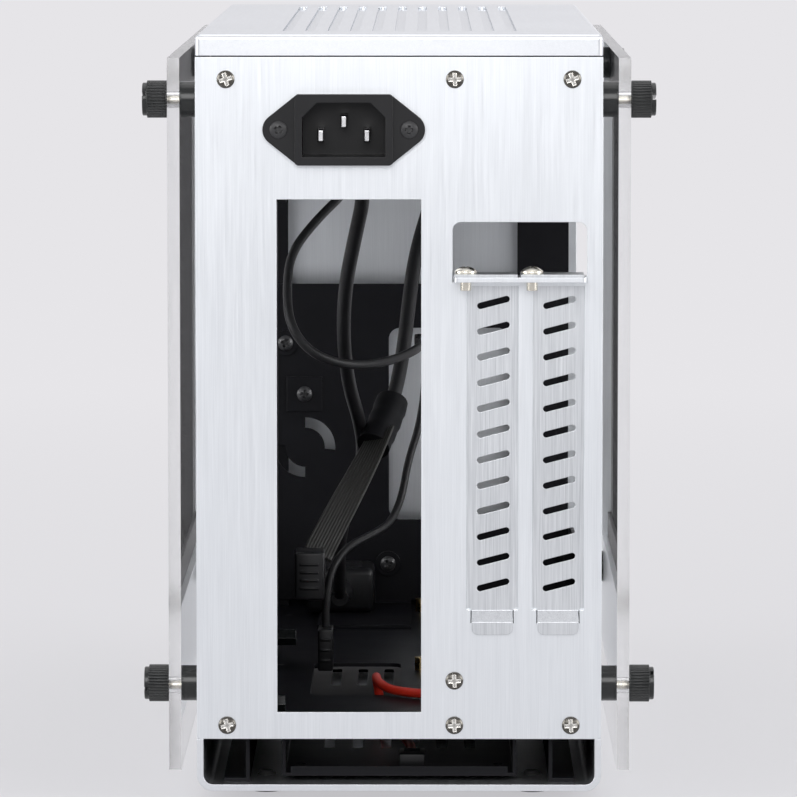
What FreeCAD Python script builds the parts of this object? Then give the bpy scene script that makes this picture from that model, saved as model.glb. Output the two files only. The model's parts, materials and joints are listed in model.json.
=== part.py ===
import FreeCAD, Part
import math
import os

# Small form factor computer case, millimetres.
# X runs right as seen from behind, the rear faces -Y, Z is up, and the feet stand on Z = 0.

# Sheet thicknesses
skin = 2.0
panel = 1.5
steel = 1.2
cover_sheet = 0.9

# Widths across the rear panel, left to right
io_margin = 24.9
io_width = 44.45
io_to_window = 9.55
window_width = 41.4
window_margin = 4.7

# Heights up the rear panel
foot_height = 3.0
panel_bottom = 16.3
io_sill = 8.3
io_height = 158.75
io_to_inlet = 10.6
inlet_height = 21.8
inlet_head = 11.25
cover_lip = 7.0
seam = 0.4

# Depth of the body, and what stands out of its two ends
body_depth = 325.0
shelf_depth = 11.5
button_proud = 2.0

# Round edges of the skins
shell_corner = 5.0
cover_corner = 1.6
panel_corner = 1.3
shell_wall = 42.0

# Long grooves in the top cover
top_groove_count = 11
top_groove_pitch = 7.0
top_groove_width = 3.0
top_groove_depth = 1.2
slot_end_share = 0.45
top_groove_end_margin = 30.0

# Card window, shelf and slots
slot_pitch = 20.32
first_slot_offset = 12.34
slot_width = 16.0
slot_sill = 40.2
slot_height = 100.25
slot_web = 1.9
window_height = 16.25
window_corner = 2.7
shelf_relief = 0.3
shelf_bend = 0.8
shelf_corner = 1.5

# Slot covers
cover_width = 18.4
cover_bend_gap = 0.3
flange_left = 11.8
flange_right = 7.5
flange_set_back = 0.2
tongue_width = 12.7
tongue_length = 7.6
tongue_rise = 3.4
tongue_notch_play = 0.3
tongue_notch_depth = 4.2
tongue_seat = 0.5
tongue_gap = 0.2
shoulder_drop = 1.5
shoulder_gap = 0.5
tongue_corner = 2.0
vent_count = 12
vent_pitch = 7.95
vent_length = 10.3
vent_width = 2.0
vent_tilt = 14.5
vent_offset = 0.3
vent_from_shelf = 7.1
vent_cut_share = 3.0
cover_screw_offset = 8.3
cover_screw_inset = 6.0
cover_screw_head = 6.8
cover_screw_head_height = 2.2
cover_screw_shank = 3.4
cover_screw_length = 5.2

# Small pan head screws of the panels
screw_head = 5.5
screw_head_height = 1.7
screw_shank = 2.8
screw_length = 5.0
screw_play = 0.2
screw_side_inset = 9.4
screw_top_inset = 6.8
screw_low_rise = 4.3
screw_middle_rise = 18.2
screw_middle_offset = 10.25
screw_rim_share = 0.45
cross_width = 0.9
cross_reach = 3.0
chassis_screw_length = 2.2
cross_depth = 0.9

# Mains inlet
inlet_offset = 20.7
inlet_block_width = 30.0
inlet_crown = 28.4
inlet_ear_spacing = 40.0
inlet_ear_radius = 4.9
inlet_flange = 2.6
inlet_block_rise = 1.6
inlet_block_corner = 1.2
inlet_body_width = 27.4
inlet_body_height = 19.6
inlet_body_depth = 20.0
inlet_play = 0.3
cavity_width = 25.6
cavity_height = 16.6
cavity_chamfer = 4.6
cavity_depth = 15.0
pin_width = 2.0
pin_height = 4.0
pin_reach = 12.0
pin_spacing = 14.2
line_pin_drop = 1.9
earth_rise = 2.4
pin_tail = 6.0
inlet_screw_head = 5.4
inlet_screw_head_height = 1.2
inlet_screw_length = 5.0

# Side sheets and their fixings
glass = 3.8
glass_gap = 4.8
glass_bottom = 6.7
glass_top_inset = 7.3
glass_hole = 5.0
standoff_diameter = 11.0
standoff_from_end = 12.0
standoff_low_rise = 32.1
standoff_top_inset = 20.4
stud_diameter = 6.0
stud_play = 0.4
stud_tail = 0.8
nut_across_flats = 10.0
nut_thickness = 3.0
nut_play = 0.1
shank_diameter = 3.6
shank_bore = 4.2
shank_reach = 7.0
bore_end_gap = 1.0
knob_diameter = 11.5
knob_length = 7.8
knob_gap = 0.2
knob_ribs = 20
knob_rib_depth = 0.6
knob_rib_width = 0.9
knob_collar = 1.4
knob_tip = 1.2
knob_tip_diameter = 8.8
knob_slot_width = 1.4
knob_slot_depth = 1.2

# Chassis sheets
floor_rise = 1.2
lip_under_io = 0.6
screw_tab_width = 13.0
screw_tab_over = 5.5
fold_relief = 2.0
lip_over_wall = 9.0
frame_wall = 30.0
top_lip = 17.0
frame_rail = 20.0
frame_end = 14.0
post_room = 1.0
rear_post_return = 8.0
front_post_return = 18.3
post_play = 0.3

# Openings in the floor
floor_opening_left = -29.0
floor_opening_width = 29.0
floor_opening_start = 79.0
floor_opening_length = 75.0
floor_opening_corner = 4.0

# Motherboard tray and its standoffs
tray_behind_io = 4.1
tray_set_back = 3.0
tray_length = 178.0
tray_flange = 7.0
tray_screw_depths = (24.0, 90.0, 160.0)
tray_cut_width = 92.0
tray_cut_height = 96.0
tray_cut_start = 46.0
tray_cut_rise = 58.0
tray_cut_corner = 8.0
board_low_hole = 25.65
board_hole_height = 157.48
board_rear_hole = 12.2
board_front_hole = 167.1
board_upper_rear_hole = 35.05
board_standoff_height = 6.3
board_standoff_flats = 5.0
board_standoff_bore = 2.5
board_standoff_stud = 3.0

# Riser standoffs on the floor
riser_x = 7.8
riser_rear_gap = 137.0
riser_front_gap = 35.0
riser_height = 4.4
riser_flats = 5.5
riser_bore = 3.0
riser_floor = 2.0

# Bracket for the power supply, across the front posts
bracket_bottom = 21.0
bracket_height = 113.8
bracket_corner = 5.0
bracket_lap = 14.0
bracket_window_left = -5.0
bracket_window_right = 38.0
bracket_window_rise = 29.0
bracket_window_height = 69.0
bracket_window_corner = 4.0
boss_places = ((-42.0, 92.6), (-5.3, 13.1))
boss_diameter = 9.0
boss_height = 0.8
boss_hole = 3.4
pad_x = -35.2
pad_rise = 74.3
pad_side = 12.6
ring_x = -35.0
ring_rise = 55.0
ring_outer = 10.8
ring_inner = 7.0
ring_slots = 2
ring_slot_angle = 95.0
bracket_screw_inset = 12.0
foot_left = -29.5
foot_right = 3.1
foot_reach = 64.0

# Drive tray and base rails in the lower bay
drive_width = 70.6
drive_sheet = 1.0
drive_rise = 1.5
drive_flange = 8.0
drive_start = 8.0
drive_front_gap = 33.0
drive_bays = 2
drive_lip = 3.0
drive_vent_count = 6
drive_vent_pitch = 9.0
drive_vent_width = 3.4
drive_vent_length = 40.0
drive_hole = 3.2
drive_hole_spacing = 61.72
drive_hole_pitch = 76.6
drive_first_hole = 18.0
drive_screw_inset = 14.0
drive_lip_inset = 1.6
rail_offset = 47.0
rail_flange = 8.0
rail_set_back = 6.0
rail_screw_inset = 40.0

# Feet
foot_diameter = 12.0
foot_taper = 1.0
foot_stem = 4.0
foot_head = 6.0
foot_head_height = 1.2
foot_side_inset = 21.0
foot_end_inset = 22.0

# Front fittings
front_row_below_top = 33.0
button_x = -28.0
button_diameter = 12.0
button_play = 0.3
button_stem = 5.0
button_room = 4.0
button_edge = 0.6
switch_diameter = 18.0
switch_depth = 14.0
usb_positions = (-2.0, 16.0)
usb_width = 13.1
usb_height = 5.7
usb_depth = 14.0
usb_wall = 0.6
usb_tongue = 1.9
usb_tongue_width = 11.0
usb_tongue_set_back = 0.8
usb_floor = 2.0
usb_play = 0.2
jack_positions = (32.0, 42.0)
jack_diameter = 6.0
jack_bore = 3.6
jack_body = 8.0
jack_bore_depth = 11.0
board_thickness = 1.6
board_left = -12.0
board_right = 50.0
board_height = 18.0
spacer_positions = (7.0, 25.0)
spacer_diameter = 4.0

# Leads inside the case
mains_diameter = 4.6
port_lead_diameter = 5.0
switch_lead_diameter = 3.0
audio_lead_diameter = 2.6
red_lead_diameter = 3.0
mains_plug_size = (24.0, 26.0, 16.0)
header_plug_size = (9.6, 14.0, 15.6)
switch_plug_size = (5.2, 14.0, 3.2)
audio_plug_size = (5.0, 12.0, 14.0)
red_plug_size = (8.0, 12.0, 5.0)

# Sizes that follow from those above
body_width = io_margin + io_width + io_to_window + window_width + window_margin
half_width = body_width / 2
io_left = io_margin - half_width
io_right = io_left + io_width
window_left = io_right + io_to_window
window_right = window_left + window_width
slot_centres = [window_left + first_slot_offset + index * slot_pitch for index in range(2)]

shell_under = foot_height
panel_low = shell_under + panel_bottom
io_low = panel_low + io_sill
io_top = io_low + io_height
inlet_z = io_top + io_to_inlet + inlet_height / 2
panel_top = inlet_z + inlet_height / 2 + inlet_head
body_top = panel_top + cover_lip
inlet_x = io_left + inlet_offset

front_reach = max(button_proud, screw_head_height)
rear_face = shelf_depth - (body_depth + shelf_depth + front_reach) / 2
front_face = rear_face + body_depth
rear_inner = rear_face + panel
front_inner = front_face - panel

wall_inner = half_width - skin
lip_inner = wall_inner - steel
post_inner = lip_inner - steel
floor_under = panel_low + floor_rise
floor_top = floor_under + steel
frame_top = body_top - skin
frame_under = frame_top - steel

slot_low = panel_low + slot_sill
slot_top = slot_low + slot_height
shelf_under = slot_top + slot_web
shelf_top = shelf_under + panel
window_top = shelf_top + window_height

glass_inner = half_width + glass_gap
glass_outer = glass_inner + glass
glass_low = shell_under + glass_bottom
glass_top = body_top - glass_top_inset
standoff_heights = {"bottom": shell_under + standoff_low_rise, "top": body_top - standoff_top_inset}
standoff_seats = {"bottom": half_width, "top": wall_inner}
standoff_depths = {"rear": rear_face + standoff_from_end, "front": front_face - standoff_from_end}
sides = {"left": -1, "right": 1}
front_row = body_top - front_row_below_top
io_board_face = front_face - usb_depth
frame_low = body_top - frame_wall
wall_top = shell_under + shell_wall
pan_top = wall_top + lip_over_wall
post_start = panel + steel + post_play
post_end = standoff_from_end + nut_across_flats / math.sqrt(3) + post_room + steel
tray_x = io_left - tray_behind_io
tray_rear = rear_inner + tray_set_back
tray_front = tray_rear + tray_length
bracket_low = shell_under + bracket_bottom
bracket_top = bracket_low + bracket_height
bracket_half = lip_inner - front_post_return + bracket_lap
bracket_front = front_face - post_end
drive_half = drive_width / 2
drive_under = shell_under + skin + drive_rise
drive_rear = rear_face + drive_start
drive_front = front_face - drive_front_gap
drive_bay_length = (drive_front - drive_rear) / drive_bays
riser_depths = (riser_rear_gap, body_depth - riser_front_gap)
rail_screw_depths = (rail_screw_inset, body_depth - rail_screw_inset)

screw_side = half_width - screw_side_inset
screw_high = panel_top - screw_top_inset
screw_low = panel_low + screw_low_rise
screw_middle = panel_low + screw_middle_rise
screw_middle_x = io_right + screw_middle_offset
rear_screw_places = [(-screw_side, screw_high), (screw_middle_x, screw_high), (screw_side, screw_high),
                     (screw_middle_x, screw_middle),
                     (-screw_side, screw_low), (screw_middle_x, screw_low), (screw_side, screw_low)]
front_screw_places = [(-screw_side, screw_high), (screw_side, screw_high),
                      (-screw_side, screw_low), (screw_side, screw_low)]


# Shape helpers
def point(x, y, z):
    return FreeCAD.Vector(x, y, z)


def box(x0, x1, y0, y1, z0, z1):
    return Part.makeBox(x1 - x0, y1 - y0, z1 - z0, point(x0, y0, z0))


def rod(start, direction, radius, length):
    return Part.makeCylinder(radius, length, start, direction)


def along_x(x, y, z, sign, radius, length):
    return rod(point(x, y, z), point(sign, 0, 0), radius, length)


def along_y(x, y, z, radius, length):
    return rod(point(x, y, z), point(0, 1, 0), radius, length)


def along_z(x, y, z, radius, length):
    return rod(point(x, y, z), point(0, 0, 1), radius, length)


def filleted(shape, radius, chosen):
    edges = [edge for edge in shape.Edges if chosen(edge)]
    return shape.makeFillet(radius, edges)


def runs_along(edge, axis):
    first, last = edge.Vertexes[0].Point, edge.Vertexes[-1].Point
    line = (last - first).normalize()
    return abs(abs(line.dot(axis)) - 1) < 1e-6


def rounded_plate(x0, x1, y0, y1, z0, z1, radius, axis):
    return filleted(box(x0, x1, y0, y1, z0, z1), radius, lambda edge: runs_along(edge, axis))


def prism(points, direction):
    outline = Part.makePolygon(points + [points[0]])
    return Part.Face(outline).extrude(direction)


def hexagon(start, axis, across_flats, length):
    radius = across_flats / math.sqrt(3)
    side, other = point(0, 1, 0), point(0, 0, 1)
    if abs(axis.z) > abs(axis.x):
        side = point(1, 0, 0)
        other = point(0, 1, 0)
    corners = []
    for corner in range(6):
        angle = math.radians(60 * corner)
        corners.append(start + side * (radius * math.cos(angle)) + other * (radius * math.sin(angle)))
    return prism(corners, axis * length)


def long_slot(centre, length, width, depth, tilt):
    straight = length - width
    middle = box(-straight / 2, straight / 2, 0, depth, -width / 2, width / 2)
    ends = [along_y(side * straight / 2, 0, 0, width / 2, depth) for side in (-1, 1)]
    slot = middle.multiFuse(ends).removeSplitter()
    slot.rotate(point(0, 0, 0), point(0, 1, 0), -tilt)
    slot.translate(centre)
    return slot


def pan_screw(place, direction, head, head_height, shank, length):
    crown = head_height * screw_rim_share
    edge = head / 2
    dome = head_height - crown
    ball = (edge ** 2 + dome ** 2) / (2 * dome)
    middle = point(edge / 2, 0, head_height - ball + math.sqrt(ball ** 2 - (edge / 2) ** 2))
    outline = Part.Wire([
        Part.LineSegment(point(0, 0, -length), point(shank / 2, 0, -length)).toShape(),
        Part.LineSegment(point(shank / 2, 0, -length), point(shank / 2, 0, 0)).toShape(),
        Part.LineSegment(point(shank / 2, 0, 0), point(edge, 0, 0)).toShape(),
        Part.LineSegment(point(edge, 0, 0), point(edge, 0, crown)).toShape(),
        Part.Arc(point(edge, 0, crown), middle, point(0, 0, head_height)).toShape(),
        Part.LineSegment(point(0, 0, head_height), point(0, 0, -length)).toShape(),
    ])
    screw = Part.Face(outline).revolve(point(0, 0, 0), point(0, 0, 1), 360)
    reach = cross_reach / 2
    cross = box(-reach, reach, -cross_width / 2, cross_width / 2, head_height - cross_depth, head_height)
    other = box(-cross_width / 2, cross_width / 2, -reach, reach, head_height - cross_depth, head_height)
    screw = screw.cut(cross.fuse(other))
    turn = FreeCAD.Rotation(point(0, 0, 1), direction)
    screw.Placement = FreeCAD.Placement(place, turn)
    return screw


def save(name, shape):
    shape.exportStep("parts/" + name + ".step")


def save_group(name, solids):
    save(name, Part.makeCompound(solids))


# Holes shared by the sheets that a fixing passes through
def stud_holes(shape, heights):
    radius = stud_diameter / 2 + stud_play / 2
    for side in sides.values():
        for y in standoff_depths.values():
            for z in heights:
                shape = shape.cut(along_x(0, y, z, side, radius, half_width + skin))
    return shape


def panel_screw_holes(shape, places, y, length):
    for x, z in places:
        shape = shape.cut(along_y(x, y, z, screw_shank / 2 + screw_play / 2, length))
    return shape


# Trough with round lower corners that makes the base and the low side walls
def bottom_shell():
    lengthways = point(0, 1, 0)
    inside = shell_under + skin
    outer = box(-half_width, half_width, rear_face, front_face, shell_under, wall_top)
    outer = filleted(outer, shell_corner,
                     lambda edge: runs_along(edge, lengthways) and edge.CenterOfMass.z < inside)
    inner = box(-wall_inner, wall_inner, rear_face, front_face, inside, wall_top)
    inner = filleted(inner, shell_corner - skin,
                     lambda edge: runs_along(edge, lengthways) and edge.CenterOfMass.z < panel_low)
    shell = outer.cut(inner)
    for y0, y1 in ((rear_face, rear_inner), (front_inner, front_face)):
        shell = shell.cut(box(-half_width, half_width, y0, y1, panel_low, wall_top))
    shell = stud_holes(shell, [standoff_heights["bottom"]])
    for x, y in foot_places():
        shell = shell.cut(along_z(x, y, shell_under, foot_stem / 2 + screw_play / 2, skin))
    return shell


def foot_places():
    x = half_width - foot_side_inset
    ends = (rear_face + foot_end_inset, front_face - foot_end_inset)
    return [(side * x, y) for side in (-1, 1) for y in ends]


# Foot pad with a stem and a holding head pressed through the base
def rubber_foot(x, y):
    pad = Part.makeCone(foot_diameter / 2 - foot_taper, foot_diameter / 2, foot_height)
    stem = along_z(0, 0, foot_height, foot_stem / 2, skin)
    head = Part.makeCone(foot_head / 2, foot_stem / 2, foot_head_height, point(0, 0, foot_height + skin))
    foot = pad.multiFuse([stem, head]).removeSplitter()
    foot.translate(point(x, y, 0))
    return foot


# Folded top with vent slots and a short lip all round
def top_cover():
    lip_low = panel_top + seam
    outer = box(-half_width, half_width, rear_face, front_face, lip_low, body_top)
    outer = filleted(outer, cover_corner, lambda edge: edge.CenterOfMass.z > lip_low)
    inner = box(-wall_inner, wall_inner, rear_inner, front_inner, lip_low, frame_top)
    cover = outer.cut(inner)
    groove_length = body_depth - 2 * top_groove_end_margin
    for index in range(top_groove_count):
        left = (index - (top_groove_count - 1) / 2) * top_groove_pitch - top_groove_width / 2
        groove = rounded_plate(left, left + top_groove_width, -groove_length / 2, groove_length / 2,
                               body_top - top_groove_depth, body_top,
                               top_groove_width * slot_end_share, point(0, 0, 1))
        groove.translate(point(0, (rear_face + front_face) / 2, 0))
        cover = cover.cut(groove)
    return cover


# Shelf folded out of the rear panel along the lower edge of the card window
def shelf():
    low = shelf_under - shelf_bend
    tip = rear_face - shelf_depth
    bend_y = rear_face - shelf_bend
    outer_bend = panel + shelf_bend
    diagonal = math.sqrt(0.5)
    left = window_left + shelf_relief
    right = window_right - shelf_relief

    def at(y, z):
        return point(left, y, z)

    outline = Part.Wire([
        Part.Arc(at(rear_inner, low), at(bend_y + outer_bend * diagonal, low + outer_bend * diagonal),
                 at(bend_y, shelf_top)).toShape(),
        Part.LineSegment(at(bend_y, shelf_top), at(tip, shelf_top)).toShape(),
        Part.LineSegment(at(tip, shelf_top), at(tip, shelf_under)).toShape(),
        Part.LineSegment(at(tip, shelf_under), at(bend_y, shelf_under)).toShape(),
        Part.Arc(at(bend_y, shelf_under), at(bend_y + shelf_bend * diagonal, low + shelf_bend * diagonal),
                 at(rear_face, low)).toShape(),
        Part.LineSegment(at(rear_face, low), at(rear_inner, low)).toShape(),
    ])
    fold = Part.Face(outline).extrude(point(right - left, 0, 0))
    upright = point(0, 0, 1)
    fold = filleted(fold, shelf_corner,
                    lambda edge: runs_along(edge, upright) and edge.CenterOfMass.y < bend_y)
    for centre in slot_centres:
        x = centre - cover_screw_offset
        fold = fold.cut(along_z(x, rear_face - cover_screw_inset, shelf_under,
                                cover_screw_shank / 2 + screw_play / 2, panel))
    return fold


# Rear plate with the board opening, inlet, card window and card slots
def rear_panel():
    through = point(0, 1, 0)
    plate = box(-half_width, half_width, rear_face, rear_inner, panel_low, panel_top)
    plate = filleted(plate, panel_corner,
                     lambda edge: runs_along(edge, through) and edge.CenterOfMass.z < io_low)
    plate = plate.cut(box(io_left, io_right, rear_face, rear_inner, io_low, io_top))
    window = box(window_left, window_right, rear_face, rear_inner, shelf_under - shelf_bend, window_top)
    window = filleted(window, window_corner,
                      lambda edge: runs_along(edge, through) and edge.CenterOfMass.z > shelf_top)
    window_low = box(window_left, window_right, rear_face, rear_inner, shelf_under - shelf_bend, shelf_top)
    plate = plate.cut(window.fuse(window_low)).fuse(shelf()).removeSplitter()
    notch = tongue_width / 2 + tongue_notch_play
    for centre in slot_centres:
        plate = plate.cut(box(centre - slot_width / 2, centre + slot_width / 2,
                              rear_face, rear_inner, slot_low, slot_top))
        plate = plate.cut(box(centre - notch, centre + notch, rear_face, rear_inner,
                              slot_low - tongue_notch_depth, slot_low))
    cut_x = inlet_body_width / 2 + inlet_play
    cut_z = inlet_body_height / 2 + inlet_play
    plate = plate.cut(box(inlet_x - cut_x, inlet_x + cut_x, rear_face, rear_inner,
                          inlet_z - cut_z, inlet_z + cut_z))
    ears = [(inlet_x + side * inlet_ear_spacing / 2, inlet_z) for side in (-1, 1)]
    return panel_screw_holes(plate, rear_screw_places + ears, rear_face, panel)


# Blank for one card slot: flange on the shelf, vented face and a tongue hooked over the panel
def slot_cover(centre):
    bend = panel + shelf_bend - cover_bend_gap
    bend_y = rear_inner - bend
    bend_z = shelf_top - bend
    tip = rear_face - shelf_depth + flange_set_back
    joggle_low = slot_low - tongue_notch_depth + tongue_seat
    joggle_top = joggle_low + tongue_rise
    outside = rear_face - tongue_gap - cover_sheet
    joggle_angle = math.atan2(rear_inner - outside, tongue_rise)
    bend_shift = cover_sheet * math.tan(joggle_angle / 2)
    tongue_low = slot_low - tongue_length
    left = centre - flange_left
    right = centre + cover_width / 2
    diagonal = math.sqrt(0.5)

    def at(y, z):
        return point(left, y, z)

    def corner(radius):
        return at(bend_y + radius * diagonal, bend_z + radius * diagonal)

    outer = bend + cover_sheet
    inside = rear_inner + cover_sheet
    upper = shelf_top + cover_sheet
    outline = Part.Wire([
        Part.LineSegment(at(tip, shelf_top), at(bend_y, shelf_top)).toShape(),
        Part.Arc(at(bend_y, shelf_top), corner(bend), at(rear_inner, bend_z)).toShape(),
        Part.LineSegment(at(rear_inner, bend_z), at(rear_inner, joggle_top)).toShape(),
        Part.LineSegment(at(rear_inner, joggle_top), at(inside, joggle_top - bend_shift)).toShape(),
        Part.LineSegment(at(inside, joggle_top - bend_shift), at(bend_y + outer, bend_z)).toShape(),
        Part.Arc(at(bend_y + outer, bend_z), corner(outer), at(bend_y, upper)).toShape(),
        Part.LineSegment(at(bend_y, upper), at(tip, upper)).toShape(),
        Part.LineSegment(at(tip, upper), at(tip, shelf_top)).toShape(),
    ])
    cover = Part.Face(outline).extrude(point(right - left, 0, 0))
    cover = cover.cut(box(left, centre - cover_width / 2, rear_face, inside, tongue_low, bend_z))
    cover = cover.cut(box(centre + flange_right, right, tip, bend_y + outer, bend_z, upper))

    tongue_half = tongue_width / 2
    tongue_shoulder = joggle_low - bend_shift
    tongue = prism([
        point(centre - tongue_half, rear_inner, joggle_top),
        point(centre - tongue_half, inside, joggle_top - bend_shift),
        point(centre - tongue_half, outside + cover_sheet, tongue_shoulder),
        point(centre - tongue_half, outside + cover_sheet, tongue_low),
        point(centre - tongue_half, outside, tongue_low),
        point(centre - tongue_half, outside, joggle_low),
    ], point(tongue_width, 0, 0))
    through = point(0, 1, 0)
    tongue = filleted(tongue, tongue_corner,
                      lambda edge: runs_along(edge, through) and edge.CenterOfMass.z < tongue_shoulder)
    shoulders = []
    for side in (-1, 1):
        x0, x1 = sorted((centre + side * (tongue_half + shoulder_gap), centre + side * cover_width / 2))
        shoulders.append(box(x0, x1, rear_inner, inside, slot_low - shoulder_drop, joggle_top))
    cover = cover.multiFuse([tongue] + shoulders).removeSplitter()

    for index in range(vent_count):
        z = shelf_under - vent_from_shelf - index * vent_pitch
        vent_place = point(centre + vent_offset, rear_inner - cover_sheet, z)
        cover = cover.cut(long_slot(vent_place, vent_length, vent_width, cover_sheet * vent_cut_share,
                                    vent_tilt))
    hole = along_z(centre - cover_screw_offset, rear_face - cover_screw_inset, shelf_top,
                   cover_screw_shank / 2 + screw_play / 2, cover_sheet)
    return cover.cut(hole)


# Moulded mains inlet, its three blades and its two screws
def inlet_outline(y):
    wide = inlet_crown / 2
    high = inlet_height / 2
    ear = inlet_ear_spacing / 2
    reach = math.hypot(ear - wide, high)
    angle = math.atan2(high, wide - ear) - math.acos(inlet_ear_radius / reach)
    touch_x = ear + inlet_ear_radius * math.cos(angle)
    touch_z = inlet_ear_radius * math.sin(angle)

    def at(x, z):
        return point(inlet_x + x, y, inlet_z + z)

    edges = []
    for side in (1, -1):
        edges += [
            Part.LineSegment(at(-side * wide, side * high), at(side * wide, side * high)).toShape(),
            Part.LineSegment(at(side * wide, side * high), at(side * touch_x, side * touch_z)).toShape(),
            Part.Arc(at(side * touch_x, side * touch_z), at(side * (ear + inlet_ear_radius), 0),
                     at(side * touch_x, -side * touch_z)).toShape(),
            Part.LineSegment(at(side * touch_x, -side * touch_z), at(side * wide, -side * high)).toShape(),
        ]
    return Part.Face(Part.Wire(edges))


def pin_boxes():
    floor_y = rear_face - inlet_flange - inlet_block_rise + cavity_depth
    boxes = []
    for x, z in ((-pin_spacing / 2, -line_pin_drop), (pin_spacing / 2, -line_pin_drop), (0, earth_rise)):
        boxes.append(box(inlet_x + x - pin_width / 2, inlet_x + x + pin_width / 2,
                         floor_y - pin_reach, rear_face + inlet_body_depth + pin_tail,
                         inlet_z + z - pin_height / 2, inlet_z + z + pin_height / 2))
    return boxes


def inlet_housing():
    flange_face = rear_face - inlet_flange
    block_face = flange_face - inlet_block_rise
    wide = inlet_block_width / 2
    high = inlet_height / 2
    shield = inlet_outline(block_face).extrude(point(0, inlet_flange + inlet_block_rise, 0))
    through = point(0, 1, 0)
    shield = filleted(shield, inlet_block_corner, lambda edge: runs_along(edge, through)
                      and abs(edge.CenterOfMass.z - inlet_z) > inlet_ear_radius)
    flange = shield.common(box(-half_width, half_width, flange_face, rear_face,
                               inlet_z - high, inlet_z + high))
    block = shield.common(box(inlet_x - wide, inlet_x + wide, block_face, flange_face,
                              inlet_z - high, inlet_z + high))
    body = box(inlet_x - inlet_body_width / 2, inlet_x + inlet_body_width / 2, rear_face,
               rear_face + inlet_body_depth, inlet_z - inlet_body_height / 2, inlet_z + inlet_body_height / 2)
    housing = flange.multiFuse([block, body]).removeSplitter()
    half = cavity_width / 2
    rise = cavity_height / 2
    cavity = prism([point(inlet_x + x, block_face, inlet_z + z) for x, z in (
        (-half, -rise), (half, -rise), (half, rise - cavity_chamfer), (half - cavity_chamfer, rise),
        (cavity_chamfer - half, rise), (-half, rise - cavity_chamfer))], point(0, cavity_depth, 0))
    housing = housing.cut(cavity)
    for pin in pin_boxes():
        housing = housing.cut(pin)
    for side in (-1, 1):
        housing = housing.cut(along_y(inlet_x + side * inlet_ear_spacing / 2, flange_face, inlet_z,
                                      screw_shank / 2 + screw_play / 2, inlet_flange))
    return housing


def inlet_screws():
    y = rear_face - inlet_flange
    places = [point(inlet_x + side * inlet_ear_spacing / 2, y, inlet_z) for side in (-1, 1)]
    return [pan_screw(place, point(0, -1, 0), inlet_screw_head, inlet_screw_head_height,
                      screw_shank, inlet_screw_length) for place in places]


def panel_screws(places, face, outward):
    return [pan_screw(point(x, face, z), point(0, outward, 0), screw_head, screw_head_height,
                      screw_shank, screw_length) for x, z in places]


def slot_cover_screws():
    y = rear_face - cover_screw_inset
    places = [point(centre - cover_screw_offset, y, shelf_top + cover_sheet) for centre in slot_centres]
    return [pan_screw(place, point(0, 0, 1), cover_screw_head, cover_screw_head_height,
                      cover_screw_shank, cover_screw_length) for place in places]


# Clear side sheet, its spacers, nuts and thumb screws
def fixing_places():
    return [(y, level) for y in standoff_depths.values() for level in standoff_heights]


def side_glass(side):
    x0, x1 = sorted((side * glass_inner, side * glass_outer))
    sheet = box(x0, x1, rear_face, front_face, glass_low, glass_top)
    for y, level in fixing_places():
        z = standoff_heights[level]
        sheet = sheet.cut(along_x(side * glass_inner, y, z, side, glass_hole / 2, glass))
    return sheet


def glass_standoff(side, y, level):
    z = standoff_heights[level]
    seat = standoff_seats[level]
    stud = seat - post_inner + nut_thickness + stud_tail
    barrel = along_x(side * seat, y, z, side, standoff_diameter / 2, glass_inner - seat)
    barrel = barrel.fuse(along_x(side * seat, y, z, -side, stud_diameter / 2, stud)).removeSplitter()
    return barrel.cut(along_x(side * glass_inner, y, z, -side, shank_bore / 2, shank_reach + bore_end_gap))


def standoff_nut(side, y, level):
    z = standoff_heights[level]
    start = point(side * post_inner, y, z)
    nut = hexagon(start, point(-side, 0, 0), nut_across_flats, nut_thickness)
    return nut.cut(along_x(side * post_inner, y, z, -side, stud_diameter / 2 + nut_play, nut_thickness))


def thumb_screw(side, y, z):
    radius = knob_diameter / 2
    grip = knob_length - knob_tip
    knob = along_z(0, 0, 0, radius, grip).fuse(along_z(0, 0, grip, knob_tip_diameter / 2, knob_tip))
    groove = box(radius - knob_rib_depth, radius * 2, -knob_rib_width / 2, knob_rib_width / 2,
                 knob_collar, grip)
    grooves = []
    for rib in range(knob_ribs):
        turned = groove.copy()
        turned.rotate(point(0, 0, 0), point(0, 0, 1), rib * 360 / knob_ribs)
        grooves.append(turned)
    knob = knob.cut(Part.makeCompound(grooves))
    slot = box(-knob_diameter, knob_diameter, -knob_slot_width / 2, knob_slot_width / 2,
               knob_length - knob_slot_depth, knob_length)
    shank_length = knob_gap + glass + shank_reach
    shank = along_z(0, 0, -shank_length, shank_diameter / 2, shank_length)
    knob = knob.cut(slot).fuse(shank).removeSplitter()
    turn = FreeCAD.Rotation(point(0, 0, 1), point(side, 0, 0))
    knob.Placement = FreeCAD.Placement(point(side * (glass_outer + knob_gap), y, z), turn)
    return knob


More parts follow.
